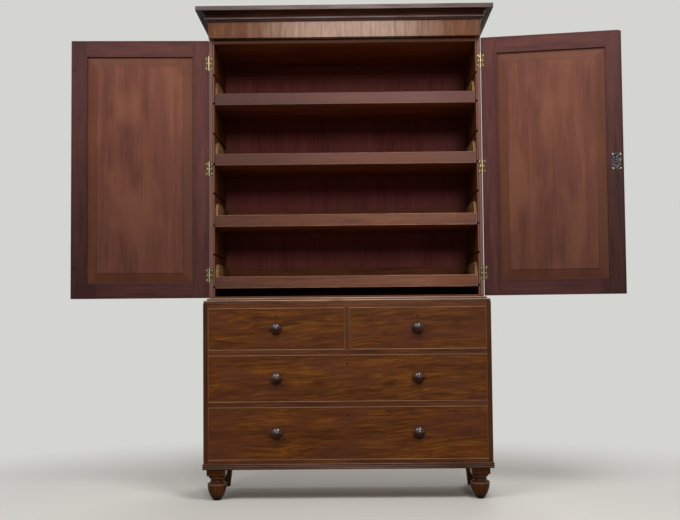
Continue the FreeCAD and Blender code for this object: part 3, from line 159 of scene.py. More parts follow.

# %% [markdown]
# ## Making the pieces
# Each wooden piece is a merged copy of its node: the same shape to the hundredth of a millimetre, with its
# corners joined so that light can run over its curves, and with the values above written on every corner.
# Three more values go with them: which boards are darker, by brown staining or by painted shade, how far a
# point stands out from its neighbours, and how much this piece was rubbed, which also sets how strong the
# painted highlight on its crests is. A plane leaves an edge that would cut the hand, so joiners take it off
# with a stroke of sandpaper. A bevel of about half a millimetre does the same here. It is narrow, but without
# it no edge catches the light.

# %% Mesh from arrays
SMOOTH_TO = 35        # degrees between two faces up to which a surface is shaded as one curve
SHARPEST = 40         # degrees between two faces from which their edge is eased
finishes = {}         # every wood and metal by its name


def placed(name, data):
    """An object for a mesh, a lamp or the camera, put into the scene."""
    thing = bpy.data.objects.new(name, data)
    bpy.context.scene.collection.objects.link(thing)
    return thing


def new_piece(name, points, faces, values, slot):
    """A piece from its points and faces, with values such as its places written on the points."""
    mesh = bpy.data.meshes.new(name)
    mesh.from_pydata(points.tolist(), [], [list(face) for face in faces])
    for title, value in values.items():
        kind = "FLOAT_VECTOR" if value.ndim == 2 else "FLOAT"
        field = "vector" if value.ndim == 2 else "value"
        mesh.attributes.new(title, kind, "POINT").data.foreach_set(field, value.astype(np.float32).ravel())
    mesh.shade_smooth()
    mesh.set_sharp_from_angle(angle=math.radians(SMOOTH_TO))
    mesh.materials.append(finishes[slot])
    return placed(name, mesh)


def ease(piece, width):
    """Takes the arris off every sharp edge."""
    bevel = piece.modifiers.new("eased edges", "BEVEL")
    bevel.width = width
    bevel.segments = 2
    bevel.limit_method = "ANGLE"
    bevel.angle_limit = math.radians(SHARPEST)
    bevel.use_clamp_overlap = False
    bevel.harden_normals = True
    bevel.miter_outer = "MITER_ARC"


BODY_OF = {title: thing["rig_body"] for title, thing in frame["nodes"].items()}
print(len(set(BODY_OF.values())), "bodies move or stand")


# %% Crests and hollows
def crests(points, faces):
    """How far each point stands out from its neighbours: the mean of (direction from a neighbour) . normal,
    the nearest neighbours weighing most. It is above 0 on a crest, 0 on a flat and below 0 in a hollow."""
    a, b, c = (points[faces[:, k]] for k in range(3))
    across = np.cross(b - a, c - a)
    normal = np.zeros_like(points)
    for k in range(3):
        np.add.at(normal, faces[:, k], across)
    normal /= np.maximum(np.linalg.norm(normal, axis=1), 1e-12)[:, None]
    sides = np.concatenate([faces[:, [0, 1]], faces[:, [1, 2]], faces[:, [2, 0]]])
    ends = np.unique(np.sort(sides, 1), axis=0)
    ends = np.concatenate([ends, ends[:, ::-1]])
    step = points[ends[:, 0]] - points[ends[:, 1]]
    length = np.maximum(np.linalg.norm(step, axis=1), 1e-6)
    rise = (normal[ends[:, 0]] * step).sum(1) / length
    total, weight = np.zeros(len(points)), np.zeros(len(points))
    np.add.at(total, ends[:, 0], rise / length)
    np.add.at(weight, ends[:, 0], 1 / length)
    return total / weight


four_points = np.array([[0, 0, 0], [1, 0, 0], [0, 1, 0], [0, 0, 1]], float)
four_faces = np.array([[0, 2, 1], [0, 1, 3], [0, 3, 2], [1, 2, 3]])
print("a tetrahedron's corners stand out by", crests(four_points, four_faces).round(2))


# %% Copy a node board by board
def dressed(node, slot, along=None, door=None, eased=0.0, stained_and_shaded=None, rub_and_painted_light=1.0):
    """A merged copy of a node that stands for it, with grain on each board. Another argument picks, by a
    board's size along x, y and z, the boards to darken: brown staining on some, painted shade on a drawer's
    upright beads. The last one is how much this piece was rubbed and how strong the painted highlight on its
    crests is."""
    corners = corners_of(node)
    number = board_numbers(corners)
    owner = np.repeat(number, 3)
    spots = np.round(corners.reshape(-1, 3) / MERGE).astype(np.int64)
    marked = np.column_stack([owner, spots])
    _, first, index = np.unique(marked, axis=0, return_index=True, return_inverse=True)
    points = corners.reshape(-1, 3)[first]
    board = owner[first]
    faces = index.reshape(-1, 3)
    place, half = np.empty_like(points), np.empty_like(points)
    lot, stain_and_shade = np.empty(len(points)), np.zeros(len(points))
    straight = swung(points, door, -1) if door else points
    for one in range(number.max() + 1):
        mine = board == one
        place[mine], half[mine] = on_board(straight[mine], along)
        lot[mine] = lots.random()
        stain_and_shade[mine] = bool(stained_and_shaded and stained_and_shaded(np.ptp(points[mine], axis=0)))
    values = {"place": place, "half": half, "lot": lot, "stain_and_shade": stain_and_shade, "crest": crests(points, faces),
              "rub_and_painted_light": np.full(len(points), rub_and_painted_light)}
    piece = new_piece(node + "_wood", points, faces, values, slot)
    if eased:
        ease(piece, eased)
    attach(piece, BODY_OF[node])
    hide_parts(node)


print(len(frame["nodes"]), "nodes wait for their finish")

# %% [markdown]
# ## Nodes for materials
# All materials are built from a few node groups. These small helpers add one node each, set its values and
# link its inputs, so that a material reads as a list of steps.


# %% One node
def fill(tree, socket, value):
    """Links a socket to another one, or sets its value. A colour is given as red, green and blue."""
    if isinstance(value, bpy.types.NodeSocket):
        tree.links.new(value, socket)
    else:
        socket.default_value = (*value, 1.0) if socket.type == "RGBA" else value


def put(tree, kind, inputs=None, **settings):
    """Adds a node. An input that is a socket is linked, and any other is set as a value."""
    node = tree.nodes.new("ShaderNode" + kind)
    for title, value in settings.items():
        setattr(node, title, value)
    for title, value in (inputs or {}).items():
        fill(tree, node.inputs[title], value)
    return node


def math_of(tree, operation, *values):
    """The output of a Math node on these values."""
    return put(tree, "Math", dict(enumerate(values)), operation=operation).outputs[0]


def vector_of(tree, operation, *values):
    """The output of a Vector Math node on these values."""
    return put(tree, "VectorMath", dict(enumerate(values)), operation=operation).outputs[0]


def spread(tree, value, low, high, to_low=0.0, to_high=1.0):
    """The value, stretched from low..high to another range and smoothed at both ends."""
    inputs = {"Value": value, "From Min": low, "From Max": high, "To Min": to_low, "To Max": to_high}
    return put(tree, "MapRange", inputs, interpolation_type="SMOOTHSTEP").outputs["Result"]


def blend_colours(tree, share, one, other):
    """One colour, going over to the other as share goes from 0 to 1."""
    return put(tree, "Mix", {0: share, 6: one, 7: other}, data_type="RGBA").outputs[2]


def group(title, inputs, outputs):
    """An empty node group with named sockets, its input node and its output node."""
    tree = bpy.data.node_groups.new(title, "ShaderNodeTree")
    for direction, sockets in (("INPUT", inputs), ("OUTPUT", outputs)):
        for label, (kind, value) in sockets.items():
            socket = tree.interface.new_socket(name=label, in_out=direction, socket_type="NodeSocket" + kind)
            if value is not None:
                socket.default_value = value
    return tree, tree.nodes.new("NodeGroupInput").outputs, tree.nodes.new("NodeGroupOutput").inputs


print("helpers: fill, put, math_of, vector_of, spread, blend_colours, group")


# %% Places, noises and tints
def times(tree, one, other):
    """The product of two values."""
    return math_of(tree, "MULTIPLY", one, other)


def away(tree, value, level):
    """How far a value lies from a level, either way."""
    return math_of(tree, "ABSOLUTE", math_of(tree, "SUBTRACT", value, level))


def parts_of(tree, vector):
    """The three parts of a vector."""
    return put(tree, "SeparateXYZ", {0: vector}).outputs


def where(tree):
    """The three coordinates of the spot in the room."""
    return parts_of(tree, put(tree, "TexCoord").outputs["Object"])


def facing(tree):
    """The three parts of the direction in which the surface looks."""
    return parts_of(tree, put(tree, "NewGeometry").outputs["Normal"])


def noise_of(tree, spot, stretch, detail, rough=0.5, scale=1.0):
    """A noise at a spot. The larger the stretch along an axis, the finer the noise is that way."""
    inputs = {"Vector": vector_of(tree, "MULTIPLY", spot, stretch), "Scale": scale, "Detail": detail,
              "Roughness": rough}
    return put(tree, "TexNoise", inputs).outputs[0]


def tinted(tree, colour, factor):
    """The colour, made darker or lighter by a factor."""
    same = put(tree, "CombineXYZ", {part: factor for part in range(3)}).outputs[0]
    return vector_of(tree, "MULTIPLY", colour, same)


print("helpers: times, away, parts_of, where, facing, noise_of, tinted")

# %% [markdown]
# ## How far from an edge
# On a board's surface one of the three distances to its faces is zero, and the next smallest is the distance
# to the nearest edge. It is the middle one of the three, so it is their sum less the largest and the
# smallest. Polish wears off along this distance first, and dirt gathers along it.

# %% The edge group
edge_group, given, result = group(
    "Distance to the edge",
    {"Place": ("Vector", None), "Half": ("Vector", None)},
    {"Distance": ("Float", None)})
tree = edge_group
reach = vector_of(tree, "SUBTRACT", given["Half"], vector_of(tree, "ABSOLUTE", given["Place"]))
parts = parts_of(tree, reach)
total, largest, smallest = (
    math_of(tree, operation, math_of(tree, operation, parts[0], parts[1]), parts[2])
    for operation in ("ADD", "MAXIMUM", "MINIMUM"))
middle = math_of(tree, "SUBTRACT", math_of(tree, "SUBTRACT", total, largest), smallest)
tree.links.new(middle, result["Distance"])


def edge_distance(tree, place, half):
    """The distance to the nearest edge, from the edge group placed in a tree."""
    return put(tree, "Group", {"Place": place, "Half": half}, node_tree=edge_group).outputs["Distance"]


print("edge group:", len(edge_group.nodes), "nodes")

# %% [markdown]
# ## Grain
# Mahogany shows several things at once: broad soft bands where light and dark growth alternate, streaks
# inside them, fine lines, and pores, short dark dashes along the grain. Each is a noise stretched along the
# board. The figure of a board cut near a fork wanders, so a slow noise first shifts the place sideways, and
# on most boards it also runs off at a slight slope. Clouds are the slow changes of tone that age and polish
# leave.

# %% The grain group
grain_group, given, result = group(
    "Wood grain",
    {"Place": ("Vector", None), "Lot": ("Float", None), "Wander": ("Float", 0.02), "Slope": ("Float", 0.0),
     "Scale": ("Float", 1.0)},
    {"Bands": ("Float", None), "Streaks": ("Float", None), "Lines": ("Float", None), "Pores": ("Float", None),
     "Clouds": ("Float", None)})
tree = grain_group
shifts = {part: times(tree, given["Lot"], far) for part, far in enumerate((37.0, 13.0, 7.0))}
spot = vector_of(tree, "ADD", given["Place"], put(tree, "CombineXYZ", shifts).outputs[0])
drift = noise_of(tree, spot, (2.6, 6.0, 6.0), 2.0)
drift = times(tree, math_of(tree, "SUBTRACT", drift, 0.5), given["Wander"])
slope = times(tree, parts_of(tree, given["Place"])[0], given["Slope"])
drift = math_of(tree, "SUBTRACT", drift, slope)
spot = vector_of(tree, "ADD", spot, put(tree, "CombineXYZ", {1: drift, 2: drift}).outputs[0])
for label, stretch, rough in (
        ("Bands", (1.8, 20.0, 20.0), 0.5),
        ("Streaks", (6.5, 88.0, 88.0), 0.55),
        ("Lines", (9.0, 330.0, 330.0), 0.6),
        ("Clouds", (3.2, 7.0, 7.0), 0.5)):
    tree.links.new(noise_of(tree, spot, stretch, 2.0, rough, given["Scale"]), result[label])
dashes = noise_of(tree, spot, (45.0, 1300.0, 1300.0), 0.0)
tree.links.new(spread(tree, dashes, 0.60, 0.74), result["Pores"])
print("grain group:", len(tree.nodes), "nodes")

# %% [markdown]
# ## Old polish
# This group turns grain and edges into a colour, a roughness and a height. It blends three tones of one wood,
# darkens the pores, lays grime along the edges of the board, and then rubs the outermost edge back to a
# lighter tone, but not evenly: a noise decides where hands and dusters have been.

# %% The polish group
polish_group, given, result = group(
    "Old polished wood",
    {"Place": ("Vector", None), "Half": ("Vector", None), "Lot": ("Float", None),
     "Dark": ("Color", None), "Middle": ("Color", None), "Light": ("Color", None),
     "Worn": ("Color", None), "Flush": ("Color", None),
     "Figure": ("Float", 1.0), "Coarse": ("Float", 1.0), "Flushed": ("Float", 0.0),
     "Wander": ("Float", 0.02), "Slope": ("Float", 0.0), "Scale": ("Float", 1.0),
     "Wear": ("Float", 0.5), "Wear Width": ("Float", 0.002),
     "Grime": ("Float", 0.4), "Grime Width": ("Float", 0.02),
     "Dull": ("Float", 0.5), "Gloss": ("Float", 0.3)},
    {"Color": ("Color", None), "Roughness": ("Float", None), "Height": ("Float", None)})
tree = polish_group
taken = {label: given[label] for label in ("Place", "Lot", "Wander", "Slope", "Scale")}
grain = put(tree, "Group", taken, node_tree=grain_group).outputs
tone = times(tree, math_of(tree, "SUBTRACT", grain["Bands"], 0.5), given["Coarse"])
tone = math_of(tree, "ADD", math_of(tree, "MULTIPLY_ADD", grain["Lines"], 0.5, -0.75), tone)
tone = math_of(tree, "ADD", grain["Streaks"], tone)
tone = math_of(tree, "MULTIPLY_ADD", tone, given["Figure"], 0.5)
colour = blend_colours(tree, spread(tree, tone, 0.22, 0.52), given["Dark"], given["Middle"])
colour = blend_colours(tree, spread(tree, tone, 0.50, 0.80), colour, given["Light"])
flush = times(tree, spread(tree, grain["Clouds"], 0.46, 0.66), given["Flushed"])
colour = blend_colours(tree, flush, colour, given["Flush"])
colour = blend_colours(tree, times(tree, grain["Pores"], 0.35), colour, given["Dark"])
edge = edge_distance(tree, given["Place"], given["Half"])
near = math_of(tree, "DIVIDE", edge, given["Grime Width"])
grime = times(tree, spread(tree, near, 0.0, 1.0, 1.0, 0.0), given["Grime"])
colour = blend_colours(tree, grime, colour, given["Dark"])
hands = noise_of(tree, given["Place"], (9.0, 40.0, 40.0), 3.0, 0.6)
rubbed = spread(tree, math_of(tree, "DIVIDE", edge, given["Wear Width"]), 0.3, 1.0, 1.0, 0.0)
rubbed = times(tree, rubbed, spread(tree, hands, 0.35, 0.62, 0.25, 1.0))
rubbed = times(tree, rubbed, given["Wear"])
colour = blend_colours(tree, rubbed, colour, given["Worn"])
tree.links.new(colour, result["Color"])
shine = math_of(tree, "MULTIPLY_ADD", grain["Clouds"], 0.5, times(tree, grain["Streaks"], 0.5))
gloss = put(tree, "MapRange", {
    "Value": shine, "From Min": 0.35, "From Max": 0.65, "To Min": given["Gloss"], "To Max": given["Dull"]})
tree.links.new(gloss.outputs["Result"], result["Roughness"])
height = math_of(tree, "SUBTRACT", grain["Lines"], times(tree, grain["Pores"], 0.8))
tree.links.new(height, result["Height"])
print("polish group:", len(tree.nodes), "nodes")


# %% Polish placed in a material
def value_of(tree, title):
    """A value written on the pieces' points, as a socket."""
    node = put(tree, "Attribute", attribute_name=title).outputs
    return node["Vector"] if title in ("place", "half") else node["Fac"]


def polished(tree, spot, tones, choices):
    """The outputs of the polish group at a spot (place, half, lot), with its five tones and its choices."""
    inputs = dict(zip(("Place", "Half", "Lot", "Dark", "Middle", "Light", "Worn", "Flush"), (*spot, *tones)))
    inputs.update({label.replace("_", " "): value for label, value in choices.items()})
    return put(tree, "Group", inputs, node_tree=polish_group).outputs


def new_finish(title):
    """A new finish under its title: its node tree and its shader."""
    finishes[title] = bpy.data.materials.new(title)
    finishes[title].use_nodes = True
    tree = finishes[title].node_tree
    return tree, tree.nodes["Principled BSDF"]


def relieve(tree, shader, height, strength, depth):
    """Tilts the shader's normal after a height, as fine scratches and pores do."""
    relief = put(tree, "Bump", {"Height": height, "Strength": strength, "Distance": depth})
    fill(tree, shader.inputs["Normal"], relief.outputs["Normal"])


print("helpers: value_of, polished, new_finish, relieve")

# %% A wood finish
SKIN = (0.0004, 0.0012)      # how deep the tones of a door's outer face reach into its wood
OUTER_FACE = {"Figure": 1.0, "Coarse": 0.8, "Flushed": 0.6, "Wander": 0.05, "Wear": 0.3}


def wood(title, dark, middle, light, worn=None, flush=None, bump=0.25, specular=0.16, touch=None, coated=None,
         outside=None, **choices):
    """A wood finish: three tones, worn edges, a flush, choices for the polish group, a last touch, the level
    of hands' polish from which it has a coat, and the tones of the face that shows when a door is shut."""
    tree, shader = new_finish(title)
    spot = [value_of(tree, name) for name in ("place", "half", "lot")]
    polish = polished(tree, spot, (dark, middle, light, worn or light, flush or dark), choices)
    colour = polish["Color"]
    if touch:
        colour = touch(tree, colour, *spot[:2])
    if outside:
        shown = polished(tree, spot, outside, OUTER_FACE)
        depth = parts_of(tree, vector_of(tree, "ADD", spot[0], spot[1]))[2]
        colour = blend_colours(tree, spread(tree, depth, *SKIN, 1.0, 0.0), colour, shown["Color"])
    fill(tree, shader.inputs["Base Color"], colour)
    fill(tree, shader.inputs["Roughness"], polish["Roughness"])
    relieve(tree, shader, polish["Height"], bump, 0.0004)
    shader.inputs["Specular IOR Level"].default_value = specular
    if coated is not None:
        coat = spread(tree, value_of(tree, "rub_and_painted_light"), coated, coated + 0.2)
        fill(tree, shader.inputs["Coat Weight"], coat)
        shader.inputs["Coat Roughness"].default_value = 0.12


print(len(finishes), "finishes so far")

# %% [markdown]
# ## Last touches
# Some parts have a mark of their own that the polish group knows nothing of. On a moulding the crests get a
# painted highlight and the hollows painted shade. A panel's bevels were left a little rawer than its field, a
# dark line lies where they meet, and where its two boards were glued, the joint has opened a hair. The
# frieze gets a painted reflection, palest in the middle. Each touch takes the polished colour and gives back
# a new one.

# %% Crests and hollows of mouldings
EYE_LEVEL = (1.7, 1.9)       # heights between which the mouldings' painted highlights go over to dust, and their painted hollow shade lightens


def crest_light_hollow_shade(hollow, crest, low=0.02, high=0.16, dust=None):
    """A touch that paints shade in hollows and a highlight on crests, which are dusty above eye level."""
    def touch(tree, colour, place, half):
        shape = value_of(tree, "crest")
        high_up = spread(tree, where(tree)[2], *EYE_LEVEL)
        deep = blend_colours(tree, high_up, hollow, [2.4 * part for part in hollow])
        # painted shade: the hollows go over to a dark tone
        colour = blend_colours(tree, spread(tree, shape, -0.30, 0.0, 0.85, 0.0), colour, deep)
        patches = spread(tree, noise_of(tree, place, (5.0, 60.0, 60.0), 3.0), 0.3, 0.6, 0.45, 1.0)
        # painted highlight: the crests go over to a bright tone, less on faces that look up
        share = times(tree, spread(tree, shape, low, high), patches)
        share = times(tree, share, value_of(tree, "rub_and_painted_light"))
        share = times(tree, share, spread(tree, facing(tree)[2], 0.90, 0.97, 1.0, 0.1))
        return blend_colours(tree, share, colour, blend_colours(tree, high_up, crest, dust or crest))
    return touch


print("a touch is a function:", callable(crest_light_hollow_shade((0, 0, 0), (1, 1, 1))))

# %% A panel's bevels and joint
BEVEL_END = 0.051                 # from the panel's edge to where its field begins
DARK_LINE_AT = BEVEL_END - 0.002        # where a dark line runs along the bevels' ends
JOINT_AT = -0.006                 # how far across the panel its glue joint lies
JOINT_STARTS = (-0.16, -0.12)     # places along the panel between which the joint opens
JOINT_CLOSES = (-0.05, 0.30)      # and those between which it closes again


def fielded(raw, dark_line):
    """A touch for a raised panel: rawer bevels, a dark line round its field, and a glue joint along it."""
    def touch(tree, colour, place, half):
        ring = edge_distance(tree, place, half)
        colour = blend_colours(tree, spread(tree, ring, DARK_LINE_AT, BEVEL_END, 0.6, 0.0), colour, raw)
        line = spread(tree, away(tree, ring, DARK_LINE_AT), 0.0008, 0.004, 0.14, 0.0)
        colour = blend_colours(tree, line, colour, dark_line)
        along, across, _ = parts_of(tree, place)
        gap = spread(tree, away(tree, across, JOINT_AT), 0.0004, 0.0018, 0.8, 0.0)
        gap = times(tree, gap, spread(tree, along, *JOINT_STARTS))
        gap = times(tree, gap, spread(tree, along, *JOINT_CLOSES, 1.0, 0.15))
        return blend_colours(tree, gap, colour, dark_line)
    return touch


print("bevels end", BEVEL_END, "metres in")

# %% A painted reflection on the frieze, and stained or shaded boards
FRIEZE_BOARD = (-0.17, -0.16)     # depths between the frieze's front board and its side boards


def painted_reflection_and_mottle(pale):
    """A touch that paints a reflection on the middle of the front board, paler in upright stripes, and
    mottles all of it.
    """
    def touch(tree, colour, place, half):
        across = parts_of(tree, place)[1]
        front = spread(tree, where(tree)[1], *FRIEZE_BOARD, 1.0, 0.0)
        line = put(tree, "CombineXYZ", {0: across}).outputs[0]
        stripe = put(tree, "TexNoise", {"Vector": line, "Scale": 26.0, "Detail": 4.0, "Roughness": 0.7})
        stripe = math_of(tree, "SUBTRACT", stripe.outputs[0], 0.5)
        far = math_of(tree, "MULTIPLY_ADD", stripe, 0.5, away(tree, across, 0.005))
        # painted reflection: the front board goes over to the pale tone near its middle
        share = times(tree, spread(tree, far, 0.12, 0.50, 0.9, 0.0), front)
        colour = blend_colours(tree, share, colour, pale)
        mottle = noise_of(tree, place, (9.0, 75.0, 1.0), 5.0, 0.7)
        return tinted(tree, colour, spread(tree, mottle, 0.32, 0.68, 0.76, 1.16))
    return touch


def stained_and_shaded(brown):
    """A touch that darkens boards by the value on their points: brown staining on a tray's wide boards, and
    painted shade on a drawer's upright beads.
    """
    def touch(tree, colour, place, half):
        deep = vector_of(tree, "MULTIPLY", colour, brown)
        return blend_colours(tree, value_of(tree, "stain_and_shade"), colour, deep)
    return touch


print("the frieze's front board lies before", FRIEZE_BOARD[0])

# %% [markdown]
# ## Marks that depend on the place in the press
# Other marks belong to the press as a whole and not to one board. Painted sheen and painted shade leave its
# middle and its top lighter than its ends and its lower parts, the cupboard's front edges get a painted
# highlight and the doors' outer stiles painted shade, and the feet have painted highlights on their rings and
# painted shade in the neck and at the toe. These touches read the place in the room, as the press stands
# here.
# That place belongs to the piece, so the marks go along when a door swings or a tray slides. Several touches
# can follow one another.

# %% Marks by depth
CARCASS_FACE = -0.180             # depth of the cupboard's front edges
CHEST_EDGE = (-0.2165, -0.2155)   # depths between which the dark front edges of the chest's sides end
CHEST_END = (0.85, 0.86)          # heights between which the chest's marks go over to the cupboard's
DOORS_TOP = 1.966                 # height of the doors' upper edges
RED_FROM = (0.24, 0.25)           # depths between which the red stain of the back begins


def together(*touches):
    """Several touches, one after another."""
    def touch(tree, colour, place, half):
        for one in touches:
            colour = one(tree, colour, place, half)
        return colour
    return touch


def front_edges(tree, share):
    """The share on the cupboard's front edges, and 0 behind them."""
    return spread(tree, where(tree)[1], CARCASS_FACE + 0.001, CARCASS_FACE + 0.004, share, 0.0)


def painted_front_edges(purple):
    """A touch for the sides: the cupboard's front edges get a lighter purple tone, a painted highlight, and
    the chest's are darker than its rails."""
    def touch(tree, colour, place, half):
        _, y, z = where(tree)
        above = spread(tree, z, *CHEST_END)
        edge = math_of(tree, "MAXIMUM", spread(tree, y, *CHEST_EDGE, 0.66, 1.0), above)
        front = times(tree, front_edges(tree, 0.8), above)
        return tinted(tree, blend_colours(tree, front, colour, purple), edge)
    return touch


def lined(edge, back):
    """A touch for the boards inside: a front edge with a painted shadow along its top, under the frieze, and
    the back's red staining."""
    def touch(tree, colour, place, half):
        _, y, z = where(tree)
        colour = blend_colours(tree, front_edges(tree, 0.8), colour, edge)
        # painted shadow: a dark line along the top of the front edges, under the frieze
        line = times(tree, front_edges(tree, 1.0), spread(tree, z, DOORS_TOP - 0.003, DOORS_TOP))
        colour = blend_colours(tree, line, colour, (0.008, 0.003, 0.002))
        return blend_colours(tree, spread(tree, y, *RED_FROM, 0.0, 0.85), colour, back)
    return touch


def plain_behind(brown):
    """A touch for the cupboard's back: its outer face is only the brown of bare old wood, in long streaks."""
    def touch(tree, colour, place, half):
        streaks = noise_of(tree, place, (2.5, 55.0, 55.0), 4.0)
        bare = tinted(tree, brown, spread(tree, streaks, 0.34, 0.66, 0.62, 1.3))
        return blend_colours(tree, spread(tree, facing(tree)[1], 0.6, 0.8, 0.0, 0.95), colour, bare)
    return touch


print("the cupboard's front edges lie at", CARCASS_FACE)

# %% Marks by height, and painted light and shade
SIDE_MIDDLE = 0.574               # from the press's middle to the middle of a side's thickness
INSIDE_FROM = (0.835, 0.86)       # heights between which the cupboard's inside begins
OUTER_SHADE_HEIGHTS = (1.2, 1.8)             # heights between which the painted shade on the outer stiles fades out
NECK = 0.0805                     # height of a front foot's neck
RINGS = ((0.0670, 0.5), (0.0935, 0.45))     # heights of its two rings, and how strong their painted highlights are
TOE = (0.004, 0.030)              # heights between which the painted shadow at the floor ends


def inside(tone, share):
    """A touch for the cupboard's sides: their inner faces never saw much sun or polish."""
    def touch(tree, colour, place, half):
        x, _, z = where(tree)
        inner = spread(tree, math_of(tree, "ABSOLUTE", x), SIDE_MIDDLE, SIDE_MIDDLE + 0.002, share, 0.0)
        return blend_colours(tree, times(tree, inner, spread(tree, z, *INSIDE_FROM)), colour, tone)
    return touch


def by_height(low, high, tone, share):
    """A touch that goes over to a tone between two heights."""
    def touch(tree, colour, place, half):
        return blend_colours(tree, spread(tree, where(tree)[2], low, high, 0.0, share), colour, tone)
    return touch


def shaded(low, high, least):
    """A touch of painted shade that darkens the wood downwards between two heights, by the factor least at
    the lower one, as the light falls off.
    """
    def touch(tree, colour, place, half):
        return tinted(tree, colour, spread(tree, where(tree)[2], low, high, least, 1.0))
    return touch


def outer_stile_shade(from_x, factor):
    """A touch of painted shade on the doors' outer stiles, strongest low down, where the light falls off."""
    def touch(tree, colour, place, half):
        x, _, z = where(tree)
        outer_shade = spread(tree, math_of(tree, "ABSOLUTE", x), from_x, from_x + 0.03)
        outer_shade = times(tree, outer_shade, spread(tree, z, *OUTER_SHADE_HEIGHTS, 1.0, 0.1))
        return tinted(tree, colour, math_of(tree, "MULTIPLY_ADD", outer_shade, factor - 1.0, 1.0))
    return touch


def painted_sheen(middle, reach, least):
    """A touch of painted sheen and shade: the wood is paler near one upright line of the press, where most
    light falls, and darker far off."""
    def touch(tree, colour, place, half):
        off = away(tree, where(tree)[0], middle)
        return tinted(tree, colour, spread(tree, off, 0.05, reach, 1.06, least))
    return touch


def foot_highlights_and_shade(bright, purple, toe_shadow):
    """A touch for the turned feet: painted highlights on two rings, painted shade in the purple neck between
    them, and a painted shadow at the toe.
    """
    def touch(tree, colour, place, half):
        z = where(tree)[2]
        neck = spread(tree, away(tree, z, NECK), 0.008, 0.013, 0.6, 0.0)
        colour = blend_colours(tree, neck, colour, purple)
        for ring, share in RINGS:
            rubbed = spread(tree, away(tree, z, ring), 0.0008, 0.0032, share, 0.0)
            colour = blend_colours(tree, rubbed, colour, bright)
        return blend_colours(tree, spread(tree, z, *TOE, 0.92, 0.0), colour, toe_shadow)
    return touch


print("feet are rubbed at", [height for height, _ in RINGS])

# %% [markdown]
# ## The woods of this press
# The show surfaces are mahogany, but no two parts of it look alike. The drawers are veneered with figured
# wood and waxed for years. The doors' frames have gone a purple brown under their varnish, and their panels
# are redder and paler where sun and air reached them. Inside, the trays have pale sides on brown bottoms, and
# what nobody sees is pine.

# %% Mahogany on the show side
SHOWN = ((0.060, 0.0165, 0.0024), (0.112, 0.0330, 0.0044), (0.180, 0.061, 0.0075), (0.24, 0.095, 0.025),
         (0.086, 0.0230, 0.0110))
wood("mahogany_drawer", *SHOWN, Figure=1.3, Coarse=0.65, Flushed=0.65, Wander=0.06, Slope=0.06, Scale=1.15,
     Wear=0.2, Grime=0.3, Dull=0.48, Gloss=0.3, specular=0.10)
wood("mahogany_rail", (0.038, 0.010, 0.003), (0.098, 0.028, 0.008), (0.155, 0.052, 0.016), (0.22, 0.10, 0.05),
     Wear=0.7, Wear_Width=0.0025, Grime=0.3, Dull=0.5, Gloss=0.32, specular=0.12)
# the beads' crests get a painted highlight, and the upright beads painted shade
wood("mahogany_bead", (0.10, 0.035, 0.012), (0.22, 0.095, 0.040), (0.34, 0.17, 0.08), Wear=0.0, Grime=0.0,
     Dull=0.45, Gloss=0.3,
     touch=together(crest_light_hollow_shade((0.05, 0.016, 0.006), (0.75, 0.46, 0.27), 0.03, 0.20),
                    stained_and_shaded((0.60, 0.52, 0.44))))
wood("mahogany_side", (0.050, 0.0140, 0.0030), (0.098, 0.0290, 0.0065), (0.15, 0.051, 0.011),
     (0.20, 0.09, 0.05), Wear=0.5, Grime=0.2, Dull=0.52, Gloss=0.34, specular=0.10,
     touch=together(inside((0.112, 0.0385, 0.0075), 0.7), painted_front_edges((0.195, 0.094, 0.082))))
wood("mahogany_frame", (0.042, 0.0122, 0.0105), (0.093, 0.0295, 0.0258), (0.132, 0.046, 0.038),
     (0.19, 0.08, 0.06), (0.070, 0.0225, 0.0265), Figure=0.75, Flushed=0.5, Wear=0.4, Grime=0.3, Dull=0.5,
     Gloss=0.34, specular=0.11, touch=together(shaded(0.90, 1.75, 0.70), outer_stile_shade(1.05, 0.66)), outside=SHOWN)
wood("mahogany_tray", (0.075, 0.024, 0.013), (0.150, 0.053, 0.030), (0.225, 0.090, 0.044), (0.40, 0.21, 0.13),
     (0.165, 0.050, 0.018), Figure=0.6, Flushed=0.5, Slope=0.03, Wear=0.7, Wear_Width=0.004, Grime=0.2,
     Dull=0.5, Gloss=0.34,
     touch=together(by_height(1.10, 1.75, (0.106, 0.044, 0.046), 0.65), painted_sheen(0.20, 0.75, 0.58)))
wood("mahogany_moulding", (0.026, 0.008, 0.005), (0.055, 0.019, 0.012), (0.09, 0.034, 0.022),
     (0.16, 0.08, 0.05), Wear=0.0, Grime=0.0, Dull=0.5, Gloss=0.4, specular=0.02,
     touch=together(crest_light_hollow_shade((0.010, 0.003, 0.002), (0.52, 0.33, 0.245), dust=(0.205, 0.160, 0.160)),
                    painted_sheen(0.02, 0.6, 0.66)))
wood("mahogany_frieze", (0.100, 0.031, 0.012), (0.155, 0.056, 0.024), (0.22, 0.096, 0.048),
     (0.24, 0.11, 0.06), (0.17, 0.052, 0.014), Figure=0.7, Flushed=0.5, Scale=1.7, Wear=0.2, Grime=0.3,
     Dull=0.45, Gloss=0.25, specular=0.09,
     touch=together(painted_reflection_and_mottle((0.360, 0.248, 0.200)), painted_sheen(0.05, 0.62, 0.78)))
wood("mahogany_turned", (0.034, 0.0085, 0.0018), (0.072, 0.0205, 0.0036), (0.105, 0.035, 0.007),
     (0.22, 0.09, 0.035), Figure=0.7, Wear=0.0, Grime=0.0, Dull=0.26, Gloss=0.14, specular=0.09,
     touch=foot_highlights_and_shade((0.42, 0.22, 0.14), (0.036, 0.015, 0.016), (0.008, 0.003, 0.002)))
print(len(finishes), "finishes so far")

